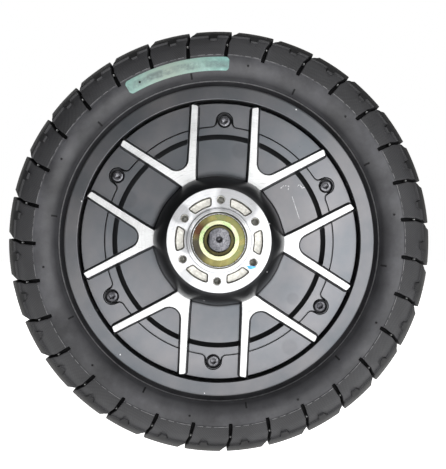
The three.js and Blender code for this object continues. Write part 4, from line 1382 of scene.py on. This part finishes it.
# Painted shade: a darker black for steep walls, sides and counterbores, standing in for the shade they fall
# into.
steep_shade_black = black_paint("steep_face_shade_paint", 0.24)
machined = machined_metal("machined_spoke_face", (0.49, 0.495, 0.495), (0.44, 0.6))
hub_face = machined_metal("machined_hub_face", (0.36, 0.365, 0.378), (0.3, 0.45), HUB_SHADE_PATCHES)
cast = cast_metal()
tapped = grime_and_shade_metal("tapped_hole_metal", (0.46, 0.45, 0.42), (0.86, 0.85, 0.80), 0.15)
# Painted shade: dark metal for the cast pockets' walls and the hub's bore, where shade falls; its patches of
# dirt are real.
corners = grime_and_shade_metal("corner_shade_metal", (0.07, 0.07, 0.066), (0.30, 0.29, 0.27))
tread = tread_rubber()
# Painted shade: a darker, duller rubber for the groove floors, standing in for the shade in them.
groove = rubber("tyre_groove_shade_rubber", (0.004, 0.004, 0.0045), (0.011, 0.011, 0.0115), (0.65, 0.8), 0.05)
# Painted highlight: pale, glossy rubber on the groove nibs stands in for glints at the shoulder grooves.
nib_glint_rubber = rubber("tyre_nib_glint_rubber", (0.06, 0.06, 0.06), (0.20, 0.20, 0.20), (0.35, 0.45), 0.5)
sidewall = sidewall_rubber()
shoulder = shoulder_rubber()
dark_steel = steel("axle_end_steel", (0.03, 0.03, 0.035), (0.27, 0.27, 0.29), 0.42, 1100.0)
thread_steel = steel("axle_thread_steel", (0.025, 0.025, 0.027), (0.15, 0.15, 0.155), 0.34, 700.0)
screw_black = steel("black_oxide_steel", (0.035, 0.035, 0.04), (0.16, 0.16, 0.17), 0.24, 900.0)
seal_rubber = rubber("seal_rubber", (0.014, 0.014, 0.015), (0.03, 0.03, 0.03))
cap_plastic = plastic("cap_plastic", (0.012, 0.012, 0.012), (0.03, 0.03, 0.03))
valve_brass = steel("valve_brass", (0.36, 0.26, 0.10), (0.72, 0.56, 0.26), 0.3, 700.0)

worn = wear_and_highlight_rubber("worn_mould_line_rubber", 0.04, 0.13)
# Painted highlight: the bead line's paler rubber stands in for the light that catches its ridge.
bead_highlight = wear_and_highlight_rubber("bead_line_highlight_rubber", 0.10, 0.22, 0.25)
settle(make_tyre([tread, shoulder, sidewall, worn, groove, bead_highlight]), "rotor", "tyre_rubber", "tyre")
settle(make_groove_nibs(nib_glint_rubber), "rotor", "tyre_rubber")
settle(make_patch(worn_label()), "rotor", "tyre_rubber")
settle(make_sidewall_marks(tread), "rotor", "tyre_rubber")

bored = machined_metal("bored_aluminium", (0.6, 0.61, 0.62))
settle(make_rim(rim_black, bored, steep_shade_black), "rotor", "black_paint", "rim")
settle(make_rear_ribs(rim_black, steep_shade_black), "rotor", "black_paint")

cover_looks = [black, hub_face, cast, tapped, corners, steep_shade_black]
cover = make_cover_body(cover_looks)
cut(cover, cover_cutters(cover_looks))
settle(cover, "rotor", "black_paint", "front_cover")
for number in range(6):
    settle(make_spokes(black, machined, steep_shade_black, number), "rotor", "black_paint")
    settle(make_screw(screw_black, number), "rotor", "screw_steel", f"cover_screw_{number + 1}")
settle(make_blue_dab(blue_mark()), "rotor", "black_paint")

settle(make_axle(dark_steel, thread_steel), "axle_stator", "axle_steel", "axle")
settle(make_front_spacer(gold_zinc()), "axle_stator", "gold_zinc", "front_spacer")
settle(make_rear_spacer(steel("collar_steel", (0.2, 0.2, 0.21), (0.5, 0.5, 0.52), 0.3)),
       "axle_stator", "axle_steel", "rear_spacer")
settle(make_rear_seal(seal_rubber), "rotor", "seal_rubber", "rear_seal")
settle(make_valve_stem(seal_rubber, valve_brass), "rotor", "seal_rubber", "valve_stem")
settle(make_valve_cap(cap_plastic), "rotor", "cap_plastic", "valve_cap")

bearing_steel = steel("bearing_steel", (0.42, 0.42, 0.43), (0.7, 0.7, 0.71), 0.2, 300.0)
laminations = striped_metal("laminated_steel", (0.10, 0.10, 0.11), (0.32, 0.32, 0.33), 0.5, 0.45)
copper = striped_metal("enamelled_copper", (0.30, 0.10, 0.03), (0.62, 0.26, 0.10), 0.9, 0.32)
nickel = steel("nickel_plating", (0.5, 0.49, 0.46), (0.72, 0.71, 0.68), 0.22, 400.0)
board = plastic("solder_mask", (0.01, 0.10, 0.04), (0.02, 0.20, 0.08), 0.35)
inner_looks = {
    "stator_core": laminations, "flux_ring": laminations, "stator_carrier": cast,
    "winding_front": copper, "winding_rear": copper, "hall_board": board,
}
for name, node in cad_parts.items():
    if node.hide_render:
        continue
    look = inner_looks.get(name, nickel if name.startswith("magnet") else bearing_steel)
    node.data.materials.clear()
    node.data.materials.append(look)
